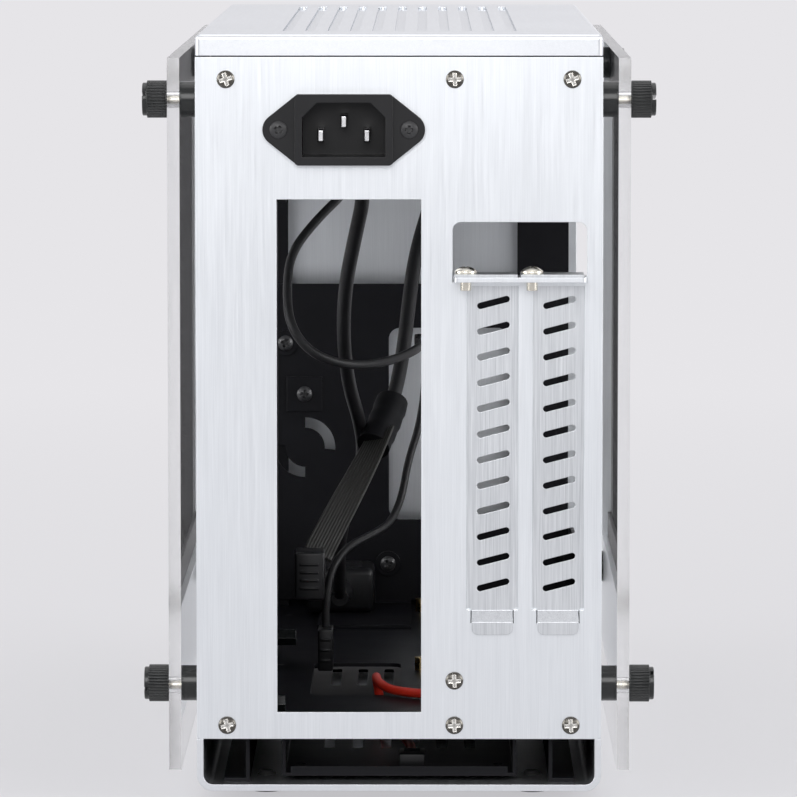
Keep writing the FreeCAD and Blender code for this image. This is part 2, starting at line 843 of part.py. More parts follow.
# Folded floor with upright lips on all four sides
def floor_pan():
    pan = box(-wall_inner, wall_inner, rear_inner, front_inner, floor_under, pan_top)
    pan = pan.cut(box(-lip_inner, lip_inner, rear_inner + steel, front_inner - steel, floor_top, pan_top))
    lip_top = io_low - lip_under_io
    tab_top = screw_middle + screw_tab_over
    tab_left = screw_middle_x - screw_tab_width / 2
    tab_right = screw_middle_x + screw_tab_width / 2
    rear_lip = (rear_inner, rear_inner + steel)
    front_lip = (front_inner - steel, front_inner)
    pan = pan.cut(box(-lip_inner, tab_left, *rear_lip, lip_top, pan_top))
    pan = pan.cut(box(tab_right, lip_inner, *rear_lip, lip_top, pan_top))
    pan = pan.cut(box(tab_left, tab_right, *rear_lip, tab_top, pan_top))
    pan = pan.cut(box(-lip_inner, lip_inner, *front_lip, lip_top, pan_top))
    pan = cut_corners(pan, floor_top, pan_top)
    opening_rear = rear_face + floor_opening_start
    opening = rounded_plate(floor_opening_left, floor_opening_left + floor_opening_width, opening_rear,
                            opening_rear + floor_opening_length, floor_under, floor_top,
                            floor_opening_corner, point(0, 0, 1))
    pan = pan.cut(opening)
    pan = stud_holes(pan, [standoff_heights["bottom"]])
    low_places = [place for place in rear_screw_places if place[1] <= screw_middle]
    pan = panel_screw_holes(pan, low_places, rear_inner, steel)
    pan = panel_screw_holes(pan, [place for place in front_screw_places if place[1] <= screw_middle],
                            front_inner - steel, steel)
    hole = screw_shank / 2 + screw_play / 2
    for x, y in drive_screw_places() + rail_screw_places() + tray_screw_places():
        pan = pan.cut(along_z(x, y, floor_under, hole, steel))
    hole = riser_bore / 2 + screw_play / 2
    for depth in riser_depths:
        pan = pan.cut(along_z(riser_x, rear_face + depth, floor_under, hole, steel))
    return pan


def cut_corners(sheet, low, high):
    reach = steel + fold_relief
    for side in (-1, 1):
        x0, x1 = sorted((side * (lip_inner - fold_relief), side * wall_inner))
        for y0, y1 in ((rear_inner, rear_inner + reach), (front_inner - reach, front_inner)):
            sheet = sheet.cut(box(x0, x1, y0, y1, low, high))
    return sheet


# Frame under the top cover, open in the middle for the vents
def top_frame():
    frame = box(-wall_inner, wall_inner, rear_inner, front_inner, frame_low, frame_top)
    frame = frame.cut(box(-lip_inner, lip_inner, rear_inner + steel, front_inner - steel,
                          frame_low, frame_under))
    lip_low = frame_top - top_lip
    for y0, y1 in ((rear_inner, rear_inner + steel), (front_inner - steel, front_inner)):
        frame = frame.cut(box(-lip_inner, lip_inner, y0, y1, frame_low, lip_low))
    frame = cut_corners(frame, frame_low, frame_under)
    rail = wall_inner - frame_rail
    frame = frame.cut(box(-rail, rail, rear_inner + frame_end, front_inner - frame_end,
                          frame_under, frame_top))
    frame = stud_holes(frame, [standoff_heights["top"]])
    high_places = [place for place in rear_screw_places if place[1] > screw_middle]
    frame = panel_screw_holes(frame, high_places, rear_inner, steel)
    return panel_screw_holes(frame, [place for place in front_screw_places if place[1] > screw_middle],
                             front_inner - steel, steel)


# Corner post: side leg behind the folded lips and a return leg across the case
def post(side, end):
    start, stop, return_width = rear_face + post_start, rear_face + post_end, rear_post_return
    return_start = stop - steel
    if end == "front":
        start, stop, return_width = front_face - post_end, front_face - post_start, front_post_return
        return_start = start
    x0, x1 = sorted((side * post_inner, side * lip_inner))
    leg = box(x0, x1, start, stop, floor_top, frame_under)
    x0, x1 = sorted((side * (lip_inner - return_width), side * lip_inner))
    return_leg = box(x0, x1, return_start, return_start + steel, floor_top, frame_under)
    angle = leg.fuse(return_leg).removeSplitter()
    angle = stud_holes(angle, standoff_heights.values())
    if end == "front":
        for x, z in bracket_screw_places():
            angle = angle.cut(along_y(x, return_start, z, screw_shank / 2 + screw_play / 2, steel))
    return angle


# Upright sheet that carries the main board on the left
def motherboard_tray():
    left = tray_x - steel
    tray = box(left, tray_x, tray_rear, tray_front, floor_top, frame_under)
    for low in (floor_top, frame_under - steel):
        tray = tray.fuse(box(left - tray_flange, tray_x, tray_rear, tray_front, low, low + steel))
    tray = tray.removeSplitter()
    cut_rear = tray_rear + tray_cut_start
    cut_low = floor_top + tray_cut_rise
    window = rounded_plate(left, tray_x, cut_rear, cut_rear + tray_cut_width, cut_low,
                           cut_low + tray_cut_height, tray_cut_corner, point(1, 0, 0))
    tray = tray.cut(window)
    for y, z in board_holes():
        tray = tray.cut(along_x(left, y, z, 1, board_standoff_stud / 2 + screw_play / 2, steel))
    for x, y in tray_screw_places():
        tray = tray.cut(along_z(x, y, floor_top, screw_shank / 2 + screw_play / 2, steel))
    return tray


def board_holes():
    low = shell_under + board_low_hole
    high = low + board_hole_height
    places = ((board_rear_hole, low), (board_front_hole, low),
              (board_upper_rear_hole, high), (board_front_hole, high))
    return [(rear_face + depth, z) for depth, z in places]


def motherboard_standoff(y, z):
    post_shape = hexagon(point(tray_x, y, z), point(1, 0, 0), board_standoff_flats, board_standoff_height)
    post_shape = post_shape.cut(along_x(tray_x, y, z, 1, board_standoff_bore / 2, board_standoff_height))
    return post_shape.fuse(along_x(tray_x, y, z, -1, board_standoff_stud / 2, steel)).removeSplitter()


def riser_standoff(depth):
    y = rear_face + depth
    body = hexagon(point(riser_x, y, floor_top), point(0, 0, 1), riser_flats, riser_height)
    body = body.cut(along_z(riser_x, y, floor_top + riser_floor, riser_bore / 2, riser_height - riser_floor))
    return body.fuse(along_z(riser_x, y, floor_under, riser_bore / 2, steel)).removeSplitter()


def tray_screw_places():
    return [(tray_x - steel - tray_flange / 2, rear_face + depth) for depth in tray_screw_depths]


# Power supply bracket with a window, curved slots, raised pads and a foot on the floor
def psu_bracket():
    rear = bracket_front - steel
    through = point(0, 1, 0)
    plate = rounded_plate(-bracket_half, bracket_half, rear, bracket_front, bracket_low, bracket_top,
                          bracket_corner, through)
    window_low = bracket_low + bracket_window_rise
    window = rounded_plate(bracket_window_left, bracket_window_right, rear, bracket_front, window_low,
                           window_low + bracket_window_height, bracket_window_corner, through)
    plate = plate.cut(window)
    pad_z = bracket_low + pad_rise
    half = pad_side / 2
    raised = [box(pad_x - half, pad_x + half, rear - boss_height, rear, pad_z - half, pad_z + half)]
    holes = [(pad_x, pad_z)]
    for x, rise in boss_places:
        raised.append(along_y(x, rear - boss_height, bracket_low + rise, boss_diameter / 2, boss_height))
        holes.append((x, bracket_low + rise))
    foot = box(foot_left, foot_right, bracket_front - foot_reach, bracket_front, floor_top, floor_top + steel)
    web = box(foot_left, foot_right, rear, bracket_front, floor_top, bracket_low + bracket_corner)
    plate = plate.multiFuse(raised + [foot, web]).removeSplitter()
    for x, z in holes:
        plate = plate.cut(along_y(x, rear - boss_height, z, boss_hole / 2, boss_height + steel))
    centre = point(ring_x, rear, bracket_low + ring_rise)
    for index in range(ring_slots):
        slot = Part.makeCylinder(ring_outer, steel, centre, through, ring_slot_angle)
        slot = slot.cut(Part.makeCylinder(ring_inner, steel, centre, through, ring_slot_angle))
        slot.rotate(centre, through, index * 360 / ring_slots)
        plate = plate.cut(slot)
    return panel_screw_holes(plate, bracket_screw_places(), rear, steel)


def bracket_screw_places():
    x = bracket_half - bracket_lap / 2
    heights = (bracket_low + bracket_screw_inset, bracket_top - bracket_screw_inset)
    return [(side * x, z) for side in sides.values() for z in heights]


# Hat-section drive tray hung under the floor
def drive_tray():
    outer = drive_half + drive_sheet
    floor = drive_under + drive_sheet
    tray = box(-outer, outer, drive_rear, drive_front, drive_under, floor_under)
    tray = tray.cut(box(-drive_half, drive_half, drive_rear, drive_front, floor, floor_under))
    for side in (-1, 1):
        x0, x1 = sorted((side * outer, side * (outer + drive_flange)))
        tray = tray.fuse(box(x0, x1, drive_rear, drive_front, floor_under - drive_sheet, floor_under))
    lip = drive_half - drive_lip_inset
    tray = tray.fuse(box(-lip, lip, drive_rear, drive_rear + drive_sheet,
                         drive_under, drive_under + drive_lip))
    tray = tray.removeSplitter()
    for bay in range(drive_bays):
        middle = drive_rear + (bay + 1 / 2) * drive_bay_length
        vent_rear = middle - drive_vent_length / 2
        vent_front = middle + drive_vent_length / 2
        for index in range(drive_vent_count):
            left = (index - (drive_vent_count - 1) / 2) * drive_vent_pitch - drive_vent_width / 2
            vent = rounded_plate(left, left + drive_vent_width, vent_rear, vent_front, drive_under, floor,
                                 drive_vent_width * slot_end_share, point(0, 0, 1))
            tray = tray.cut(vent)
    for x, y in drive_holes():
        tray = tray.cut(along_z(x, y, drive_under, drive_hole / 2, drive_sheet))
    hole = screw_shank / 2 + screw_play / 2
    for x, y in drive_screw_places():
        tray = tray.cut(along_z(x, y, floor_under - drive_sheet, hole, drive_sheet))
    return tray


def drive_holes():
    places = []
    for bay in range(drive_bays):
        first = drive_rear + bay * drive_bay_length + drive_first_hole
        for y in (first, first + drive_hole_pitch):
            places += [(side * drive_hole_spacing / 2, y) for side in (-1, 1)]
    return places


def drive_screw_places():
    x = drive_half + drive_sheet + drive_flange / 2
    middle = (drive_rear + drive_front) / 2
    depths = (drive_rear + drive_screw_inset, middle, drive_front - drive_screw_inset)
    return [(side * x, y) for side in (-1, 1) for y in depths]


# Channel between the base and the floor
def base_rail(side):
    low = shell_under + skin
    start = rear_face + rail_set_back
    stop = front_face - rail_set_back
    inner = side * (rail_offset - steel / 2)
    x0, x1 = sorted((inner, inner + side * steel))
    rail = box(x0, x1, start, stop, low, floor_under)
    x0, x1 = sorted((inner, inner + side * rail_flange))
    for z in (low, floor_under - steel):
        rail = rail.fuse(box(x0, x1, start, stop, z, z + steel))
    rail = rail.removeSplitter()
    for x, y in rail_screw_places():
        if x * side > 0:
            rail = rail.cut(along_z(x, y, floor_under - steel, screw_shank / 2 + screw_play / 2, steel))
    return rail


def rail_screw_places():
    x = rail_offset + rail_flange / 2
    return [(side * x, rear_face + depth) for side in (-1, 1) for depth in rail_screw_depths]


def chassis_screws():
    screws = []
    for places, sheet in ((drive_screw_places(), drive_sheet), (rail_screw_places(), steel)):
        for x, y in places:
            screws.append(pan_screw(point(x, y, floor_under - sheet), point(0, 0, -1), screw_head,
                                    screw_head_height, screw_shank, chassis_screw_length))
    for x, y in tray_screw_places():
        screws.append(pan_screw(point(x, y, floor_top + steel), point(0, 0, 1), screw_head,
                                screw_head_height, screw_shank, chassis_screw_length))
    for x, z in bracket_screw_places():
        screws.append(pan_screw(point(x, bracket_front - steel, z), point(0, -1, 0), screw_head,
                                screw_head_height, screw_shank, chassis_screw_length))
    return screws


# Front plate with the holes of its button, ports and jacks
def front_panel():
    through = point(0, 1, 0)
    plate = box(-half_width, half_width, front_inner, front_face, panel_low, panel_top)
    plate = filleted(plate, panel_corner,
                     lambda edge: runs_along(edge, through) and edge.CenterOfMass.z < io_low)
    plate = plate.cut(along_y(button_x, front_inner, front_row, button_diameter / 2 + button_play, panel))
    wide = usb_width / 2 + usb_play
    high = usb_height / 2 + usb_play
    for x in usb_positions:
        plate = plate.cut(box(x - wide, x + wide, front_inner, front_face,
                              front_row - high, front_row + high))
    for x in jack_positions:
        plate = plate.cut(along_y(x, front_inner, front_row, jack_diameter / 2 + usb_play, panel))
    return panel_screw_holes(plate, front_screw_places, front_inner, panel)


def power_switch_body():
    body = along_y(button_x, front_inner - switch_depth, front_row, switch_diameter / 2, switch_depth)
    bore = button_stem + button_room
    radius = button_diameter / 2 + button_play
    return body.cut(along_y(button_x, front_inner - bore, front_row, radius, bore))


def power_button():
    tip = front_face + button_proud
    start = front_inner - button_stem
    cap = along_y(button_x, start, front_row, button_diameter / 2, tip - start)
    return filleted(cap, button_edge, lambda edge: edge.Closed and edge.CenterOfMass.y > front_face)


def usb_port(x):
    wide = usb_width / 2
    high = usb_height / 2
    port = box(x - wide, x + wide, io_board_face, front_face, front_row - high, front_row + high)
    port = port.cut(box(x - wide + usb_wall, x + wide - usb_wall, io_board_face + usb_floor, front_face,
                        front_row - high + usb_wall, front_row + high - usb_wall))
    tongue = usb_tongue_width / 2
    return port.fuse(box(x - tongue, x + tongue, io_board_face + usb_floor, front_face - usb_tongue_set_back,
                         front_row, front_row + usb_tongue)).removeSplitter()


def audio_jack(x):
    barrel = along_y(x, front_inner - panel, front_row, jack_diameter / 2, front_face - front_inner + panel)
    half = jack_body / 2
    body = box(x - half, x + half, io_board_face, front_inner - panel, front_row - half, front_row + half)
    jack = barrel.fuse(body).removeSplitter()
    return jack.cut(along_y(x, front_face - jack_bore_depth, front_row, jack_bore / 2, jack_bore_depth))


def front_io_board():
    return box(board_left, board_right, io_board_face - board_thickness, io_board_face,
               front_row - board_height / 2, front_row + board_height / 2)


def board_spacer(x):
    return along_y(x, io_board_face, front_row, spacer_diameter / 2, front_inner - io_board_face)


# Leads: straight runs joined by arcs as large as the runs allow
arc_share = 0.45


def lead(name, route, diameter):
    points = [point(x, rear_face + depth, shell_under + height) for x, depth, height in route]
    edges = []
    radii = []
    start = points[0]
    for before, corner, after in zip(points, points[1:], points[2:]):
        into = corner - before
        out = after - corner
        trim = arc_share * min(into.Length, out.Length)
        turn = into.getAngle(out)
        radius = trim / math.tan(turn / 2)
        radii.append(round(radius, 1))
        into.normalize()
        out.normalize()
        first = corner - into * trim
        last = corner + out * trim
        inward = (out - into).normalize()
        middle = corner + inward * (radius / math.cos(turn / 2) - radius)
        edges.append(Part.LineSegment(start, first).toShape())
        edges.append(Part.Arc(first, middle, last).toShape())
        start = last
    edges.append(Part.LineSegment(start, points[-1]).toShape())
    path = Part.Wire(edges)
    section = Part.Wire(Part.makeCircle(diameter / 2, points[0], points[1] - points[0]))
    sweep = Part.BRepOffsetAPI.MakePipeShell(path)
    sweep.add(section)
    sweep.build()
    sweep.makeSolid()
    tube = sweep.shape()
    expected = path.Length * math.pi * diameter ** 2 / 4
    share = round(tube.Volume / expected, 4)
    print(name, "length", round(path.Length, 1), "volume share", share, "radii", radii)
    return tube


def plug_on(route, size, axis):
    x, depth, height = route[-1]
    wide, deep, high = size
    end = point(x, rear_face + depth, shell_under + height)
    half = point(wide / 2, deep / 2, high / 2)
    centre = end + point(half.x * axis[0], half.y * axis[1], half.z * axis[2])
    return Part.makeBox(wide, deep, high, centre - half)


mains_route = [(-17.2, 20, 199.4), (-17.2, 37, 199.4), (-10.6, 54, 184), (-14.6, 70, 166), (-17.8, 92, 149.6),
               (-18.8, 116, 131.5), (-17.4, 144, 113), (-14, 168, 99), (-12.6, 190, 85), (-16.5, 208, 70.5),
               (-21.5, 225, 55), (-22, 240, 38), (-22, 254, 27.9), (-22, 274, 27.9)]
port_route = [(20, 309.4, 201), (20, 289, 201), (19, 268, 195), (15.5, 250, 183), (9.5, 236, 167),
              (4.6, 222, 151), (2.4, 208, 135.5), (0.6, 195, 119), (-3, 181, 103), (-9.5, 166, 90),
              (-17, 149, 77), (-24.2, 132, 65), (-29.4, 121, 55.5), (-29.4, 106, 55.5)]
switch_route = [(-28, 309.5, 201), (-28, 288, 201), (-24.5, 258, 196), (-20, 228, 189), (-16.5, 196, 182.5),
                (-18, 165, 176.5), (-28, 142, 168), (-36, 122, 158.5), (-37, 107, 148), (-36, 99, 137),
                (-30, 97.5, 128.5), (-21, 101, 124), (-11, 110, 122.5), (-1, 124, 123.5), (7, 142, 126),
                (7, 160, 126)]
audio_route = [(34, 309.4, 201), (34, 291, 201), (28, 273, 194), (20, 257, 184), (13.5, 244, 170),
               (10, 233, 152), (9, 222, 131), (8.4, 210, 111), (6.4, 198, 95), (2.2, 190, 83), (0.2, 185, 71),
               (-3.8, 176, 63), (-11, 162, 60.5), (-19, 148, 58), (-25, 140, 48), (-25, 140, 32.7)]
red_route = [(4, 26, 7.1), (4, 46, 7.1), (1, 68, 7.1), (-3, 86, 7.1), (-5.5, 106, 7.1), (-6.5, 110.2, 11.3),
             (-7.5, 110.2, 17.3), (-8, 106, 21.5), (-7.5, 92, 21.1), (-3, 76, 20.6), (8, 68, 20.5),
             (20, 66, 20.6), (29, 60, 21), (30, 52, 21.3), (30, 38, 21.3)]


# Write every piece
os.makedirs("parts", exist_ok=True)

save("rear_panel", rear_panel())
save("front_panel", front_panel())
save("top_cover", top_cover())
save("bottom_shell", bottom_shell())
save_group("rubber_feet", [rubber_foot(x, y) for x, y in foot_places()])
for side_name, side in sides.items():
    save("side_glass_" + side_name, side_glass(side))
    save("base_rail_" + side_name, base_rail(side))
    for end_name, y in standoff_depths.items():
        save(end_name + "_" + side_name + "_post", post(side, end_name))
        for level, z in standoff_heights.items():
            save("_".join(("thumb_screw", side_name, end_name, level)), thumb_screw(side, y, z))
fixings = [(side, y, level) for side in sides.values() for y, level in fixing_places()]
save_group("glass_standoffs", [glass_standoff(*place) for place in fixings])
save_group("standoff_nuts", [standoff_nut(*place) for place in fixings])

save("floor_pan", floor_pan())
save("top_frame", top_frame())
save("motherboard_tray", motherboard_tray())
save_group("motherboard_standoffs", [motherboard_standoff(y, z) for y, z in board_holes()])
save_group("riser_standoffs", [riser_standoff(depth) for depth in riser_depths])
save("psu_bracket", psu_bracket())
save("drive_tray", drive_tray())
save_group("chassis_screws", chassis_screws())

for cover_name, centre in zip(("left", "right"), slot_centres):
    save("slot_cover_" + cover_name, slot_cover(centre))
save_group("slot_cover_screws", slot_cover_screws())
save("inlet_housing", inlet_housing())
save_group("inlet_pins", pin_boxes())
save_group("inlet_screws", inlet_screws())
save_group("rear_panel_screws", panel_screws(rear_screw_places, rear_face, -1))
save_group("front_panel_screws", panel_screws(front_screw_places, front_face, 1))

save("power_button", power_button())
save("power_switch_body", power_switch_body())
save("front_io_board", front_io_board())
save_group("usb_ports", [usb_port(x) for x in usb_positions])
save_group("audio_jacks", [audio_jack(x) for x in jack_positions])
save_group("board_spacers", [board_spacer(x) for x in spacer_positions])

save("mains_lead", lead("mains lead", mains_route, mains_diameter))
save("mains_plug", plug_on(mains_route, mains_plug_size, (0, 1, 0)))
save("front_port_lead", lead("front port lead", port_route, port_lead_diameter))
save("header_plug", plug_on(port_route, header_plug_size, (0, -1, 0)))
save("switch_lead", lead("switch lead", switch_route, switch_lead_diameter))
save("switch_plug", plug_on(switch_route, switch_plug_size, (0, 1, 0)))
save("audio_lead", lead("audio lead", audio_route, audio_lead_diameter))
save("audio_plug", plug_on(audio_route, audio_plug_size, (0, 0, -1)))
save("red_lead", lead("red lead", red_route, red_lead_diameter))
save("red_plug_floor", plug_on(red_route, red_plug_size, (0, -1, 0)))
save("red_plug_bay", plug_on(red_route[::-1], red_plug_size, (0, -1, 0)))
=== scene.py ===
import json
import math

import bpy
import bmesh
from mathutils import Matrix, Vector


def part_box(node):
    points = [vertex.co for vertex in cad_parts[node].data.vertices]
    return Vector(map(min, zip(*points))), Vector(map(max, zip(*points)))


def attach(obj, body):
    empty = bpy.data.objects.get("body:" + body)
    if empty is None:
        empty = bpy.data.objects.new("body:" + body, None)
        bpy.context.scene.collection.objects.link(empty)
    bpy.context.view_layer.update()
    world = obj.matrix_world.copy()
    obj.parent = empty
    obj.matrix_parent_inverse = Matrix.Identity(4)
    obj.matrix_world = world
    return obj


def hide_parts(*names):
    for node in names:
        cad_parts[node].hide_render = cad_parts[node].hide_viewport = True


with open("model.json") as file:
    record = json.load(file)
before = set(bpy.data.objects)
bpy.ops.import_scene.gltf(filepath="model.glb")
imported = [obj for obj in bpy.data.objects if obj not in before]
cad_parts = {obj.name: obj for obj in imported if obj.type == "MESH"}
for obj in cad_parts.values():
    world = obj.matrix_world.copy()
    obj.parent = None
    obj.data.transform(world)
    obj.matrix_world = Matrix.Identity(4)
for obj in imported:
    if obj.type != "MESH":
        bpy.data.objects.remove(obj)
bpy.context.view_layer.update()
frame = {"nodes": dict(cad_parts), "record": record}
nodes = frame["nodes"]
rows = {row["node"]: row for row in frame["record"]["subparts"]}
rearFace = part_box("bottom_shell")[0].y
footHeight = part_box("bottom_shell")[0].z
print("frame loaded:", len(nodes), "nodes")


class Wire:
    # one output socket of a node tree, so that shader maths reads as sums
    def __init__(self, tree, socket=None):
        self.tree = tree
        self.socket = socket

    def node(self, kind, settings=None, sockets=None, output=0):
        made = self.tree.nodes.new(kind)
        for name, value in (settings or {}).items():
            setattr(made, name, value)
        for key, value in (sockets or {}).items():
            if isinstance(value, Wire):
                self.tree.links.new(value.socket, made.inputs[key])
            else:
                made.inputs[key].default_value = value
        return Wire(self.tree, made.outputs[output] if made.outputs else None)

    def maths(self, operation, first, second):
        return self.node("ShaderNodeMath", {"operation": operation}, {0: first, 1: second})

    def __add__(self, other):
        return self.maths("ADD", self, other)

    def __radd__(self, other):
        return self.maths("ADD", other, self)

    def __sub__(self, other):
        return self.maths("SUBTRACT", self, other)

    def __rsub__(self, other):
        return self.maths("SUBTRACT", other, self)

    def __mul__(self, other):
        return self.maths("MULTIPLY", self, other)

    def __rmul__(self, other):
        return self.maths("MULTIPLY", other, self)

    def __pow__(self, other):
        return self.maths("POWER", self, other)

    def __rpow__(self, other):
        return self.maths("POWER", other, self)

    def __lt__(self, other):
        return self.maths("LESS_THAN", self, other)

    def __gt__(self, other):
        return self.maths("GREATER_THAN", self, other)

    def __abs__(self):
        return self.maths("ABSOLUTE", self, 0.0)


def newMaterial(name):
    material = bpy.data.materials.new(name)
    material.use_nodes = True
    material.node_tree.nodes.clear()
    return material, Wire(material.node_tree)


def showSurface(start, shader):
    start.node("ShaderNodeOutputMaterial", None, {"Surface": shader})


def objectPlace(start):
    return start.node("ShaderNodeTexCoord", None, None, "Object")


def lightRay(start, kind):
    return start.node("ShaderNodeLightPath", None, None, kind)


plainNoise = {"Detail": 2.0, "Roughness": 0.5}
richNoise = {"Detail": 3.0, "Roughness": 0.6}


def stretchedNoise(start, scale, grain):
    # scale gives the noise's cycles to the metre along X, Y and Z
    place = start.node("ShaderNodeMapping", None, {"Vector": objectPlace(start), "Scale": scale})
    return start.node("ShaderNodeTexNoise", None, {"Vector": place, "Scale": 1.0, **grain})


def mixColour(start, factor, first, second):
    # sockets 6 and 7 are the node's two colours, and output 2 is their mix
    return start.node("ShaderNodeMix", {"data_type": "RGBA"}, {0: factor, 6: first, 7: second}, 2)


edgeRound = {"samples": 6, "sheet": 0.00025, "cast": 0.0004}


def bumpOf(start, height, finish, corner):
    # fine relief on top of softly broken edges
    soft = start.node("ShaderNodeBevel", {"samples": edgeRound["samples"]}, {"Radius": corner})
    return start.node("ShaderNodeBump", None, {
        "Height": height, "Strength": finish["bump"], "Distance": finish["bumpDepth"], "Normal": soft,
    })


# brushed sheet: long fine scratches along one axis over a slow cloudiness
brushedSheet = {
    "dark": (0.72, 0.745, 0.77, 1), "light": (0.81, 0.835, 0.86, 1), "rough": 0.28, "roughSwing": 0.10,
    "fine": 4200, "coarse": 1100, "run": 55, "cloud": 14,
    "fineShare": 0.60, "coarseShare": 0.20, "cloudShare": 0.20, "lowStreak": 0.32, "highStreak": 0.68,
    "bump": 0.08, "bumpDepth": 0.00003,
}
shellSheet = dict(brushedSheet, dark=(0.69, 0.71, 0.735, 1), light=(0.78, 0.80, 0.825, 1))
coverSheet = dict(brushedSheet, dark=(0.48, 0.50, 0.52, 1), light=(0.76, 0.78, 0.80, 1))


def brushedAluminium(name, grain, finish):
    material, start = newMaterial(name)
    fineScale = [finish["run"] if axis == grain else finish["fine"] for axis in "XYZ"]
    coarseScale = [finish["run"] / 2 if axis == grain else finish["coarse"] for axis in "XYZ"]
    fine = stretchedNoise(start, fineScale, richNoise)
    coarse = stretchedNoise(start, coarseScale, plainNoise)
    cloud = stretchedNoise(start, [finish["cloud"]] * 3, plainNoise)
    streak = fine * finish["fineShare"] + coarse * finish["coarseShare"] + cloud * finish["cloudShare"]
    sharp = start.node("ShaderNodeMapRange", None, {
        "Value": streak, "From Min": finish["lowStreak"], "From Max": finish["highStreak"],
    })
    metal = start.node("ShaderNodeBsdfPrincipled", None, {
        "Base Color": mixColour(start, sharp, finish["dark"], finish["light"]),
        "Metallic": 1.0,
        "Roughness": finish["rough"] + sharp * finish["roughSwing"],
        "Normal": bumpOf(start, fine, finish, edgeRound["sheet"]),
    })
    showSurface(start, metal)
    return material


# coats: a fine peel over a slow cloud, for paint, plating, plastic and rubber
plainCoat = {
    "metallic": 0.0, "shine": 0.5, "roughSwing": 0.2, "bumpDepth": 0.00002,
    "peelShare": 0.4, "cloudShare": 0.6, "middle": 0.5, "recessSamples": 8,
}
nickelCoat = {
    "dark": (0.56, 0.52, 0.44, 1), "light": (0.82, 0.79, 0.71, 1), "metallic": 1.0, "rough": 0.22,
    "peel": 2400, "cloud": 420, "bump": 0.05,
    # painted shade: a dark brown tone laid into cross recesses and head edges
    "recessPaintedLight": (0.03, 0.022, 0.012, 1), "recessReach": 0.0016, "recessPower": 3.0,
}
coats = {
    "powderBlack": {
        "dark": (0.003, 0.003, 0.004, 1), "light": (0.007, 0.007, 0.009, 1), "rough": 0.42, "shine": 0.14,
        "roughSwing": 0.16, "peel": 2400, "cloud": 40, "bump": 0.05,
    },
    "anodisedBlack": {
        "dark": (0.004, 0.005, 0.005, 1), "light": (0.012, 0.014, 0.014, 1), "rough": 0.20,
        "roughSwing": 0.10, "peel": 2600, "cloud": 160, "bump": 0.06,
    },
    "nickelPlate": nickelCoat,
    # panel screw heads: painted reflection, a near black dome as if it mirrored dark surroundings, and near
    # white cross recesses as if their floors mirrored the bright room
    "screwNickelPaintedReflection": dict(
        nickelCoat, dark=(0.025, 0.024, 0.022, 1), light=(0.20, 0.19, 0.17, 1),
        recessPaintedLight=(0.99, 0.97, 0.92, 1), recessReach=0.0024, recessPower=11.0,
    ),
    "blackOxide": {
        "dark": (0.010, 0.010, 0.011, 1), "light": (0.032, 0.032, 0.034, 1), "rough": 0.36,
        "peel": 2200, "cloud": 500, "bump": 0.08,
    },
    "mouldedBlack": {
        "dark": (0.004, 0.004, 0.005, 1), "light": (0.010, 0.010, 0.011, 1), "rough": 0.34, "shine": 0.3,
        "peel": 3000, "cloud": 90, "bump": 0.10,
    },
    "bladeMetal": {
        "dark": (0.66, 0.66, 0.67, 1), "light": (0.86, 0.86, 0.87, 1), "metallic": 1.0, "rough": 0.24,
        "peel": 1800, "cloud": 300, "bump": 0.05,
    },
    "turnedBrass": {
        "dark": (0.58, 0.40, 0.15, 1), "light": (0.80, 0.60, 0.28, 1), "metallic": 1.0, "rough": 0.28,
        "peel": 2000, "cloud": 350, "bump": 0.06,
    },
    "footRubber": {
        "dark": (0.010, 0.010, 0.010, 1), "light": (0.024, 0.024, 0.024, 1), "rough": 0.80,
        "peel": 2600, "cloud": 120, "bump": 0.25, "bumpDepth": 0.00005,
    },
    "boardMask": {
        "dark": (0.004, 0.022, 0.010, 1), "light": (0.008, 0.045, 0.020, 1), "rough": 0.34,
        "peel": 1500, "cloud": 260, "bump": 0.08,
    },
    "tinPlate": {
        "dark": (0.62, 0.62, 0.63, 1), "light": (0.80, 0.80, 0.81, 1), "metallic": 1.0, "rough": 0.27,
        "peel": 2000, "cloud": 380, "bump": 0.06,
    },
    "blackJacket": {
        "dark": (0.007, 0.007, 0.008, 1), "light": (0.016, 0.016, 0.017, 1), "rough": 0.46, "shine": 0.2,
        "peel": 1600, "cloud": 110, "bump": 0.12, "bumpDepth": 0.00003,
    },
    "redJacket": {
        "dark": (0.50, 0.016, 0.008, 1), "light": (0.72, 0.040, 0.018, 1), "rough": 0.38,
        "peel": 1600, "cloud": 140, "bump": 0.10, "bumpDepth": 0.00003,
    },
    "wrapTape": {
        "dark": (0.002, 0.002, 0.003, 1), "light": (0.005, 0.005, 0.006, 1), "rough": 0.62, "shine": 0.12,
        "peel": 1800, "cloud": 220, "bump": 0.15, "bumpDepth": 0.00003,
    },
    "ribbonGrey": {
        "dark": (0.012, 0.012, 0.011, 1), "light": (0.024, 0.024, 0.022, 1), "rough": 0.48, "shine": 0.3,
        "peel": 1400, "cloud": 90, "bump": 0.08,
    },
}


def speckledCoat(name, finish):
    material, start = newMaterial(name)
    peel = stretchedNoise(start, [finish["peel"]] * 3, plainNoise)
    cloud = stretchedNoise(start, [finish["cloud"]] * 3, richNoise)
    blend = peel * finish["peelShare"] + cloud * finish["cloudShare"]
    tone = mixColour(start, blend, finish["dark"], finish["light"])
    if "recessPaintedLight" in finish:
        # painted light in recesses, found by ambient occlusion: painted shade that darkens screw crosses and
        # head edges, and in the panel screws a painted reflection that keeps the cross floors bright
        bare = start.node("ShaderNodeAmbientOcclusion",
                          {"samples": finish["recessSamples"], "only_local": True},
                          {"Distance": finish["recessReach"]}, "AO")
        tone = mixColour(start, bare ** finish["recessPower"], finish["recessPaintedLight"], tone)
    coat = start.node("ShaderNodeBsdfPrincipled", None, {
        "Base Color": tone,
        "Metallic": finish["metallic"],
        "Specular IOR Level": finish["shine"],
        "Roughness": finish["rough"] + (blend - finish["middle"]) * finish["roughSwing"],
        "Normal": bumpOf(start, peel, finish, edgeRound["cast"]),
    })
    showSurface(start, coat)
    return material


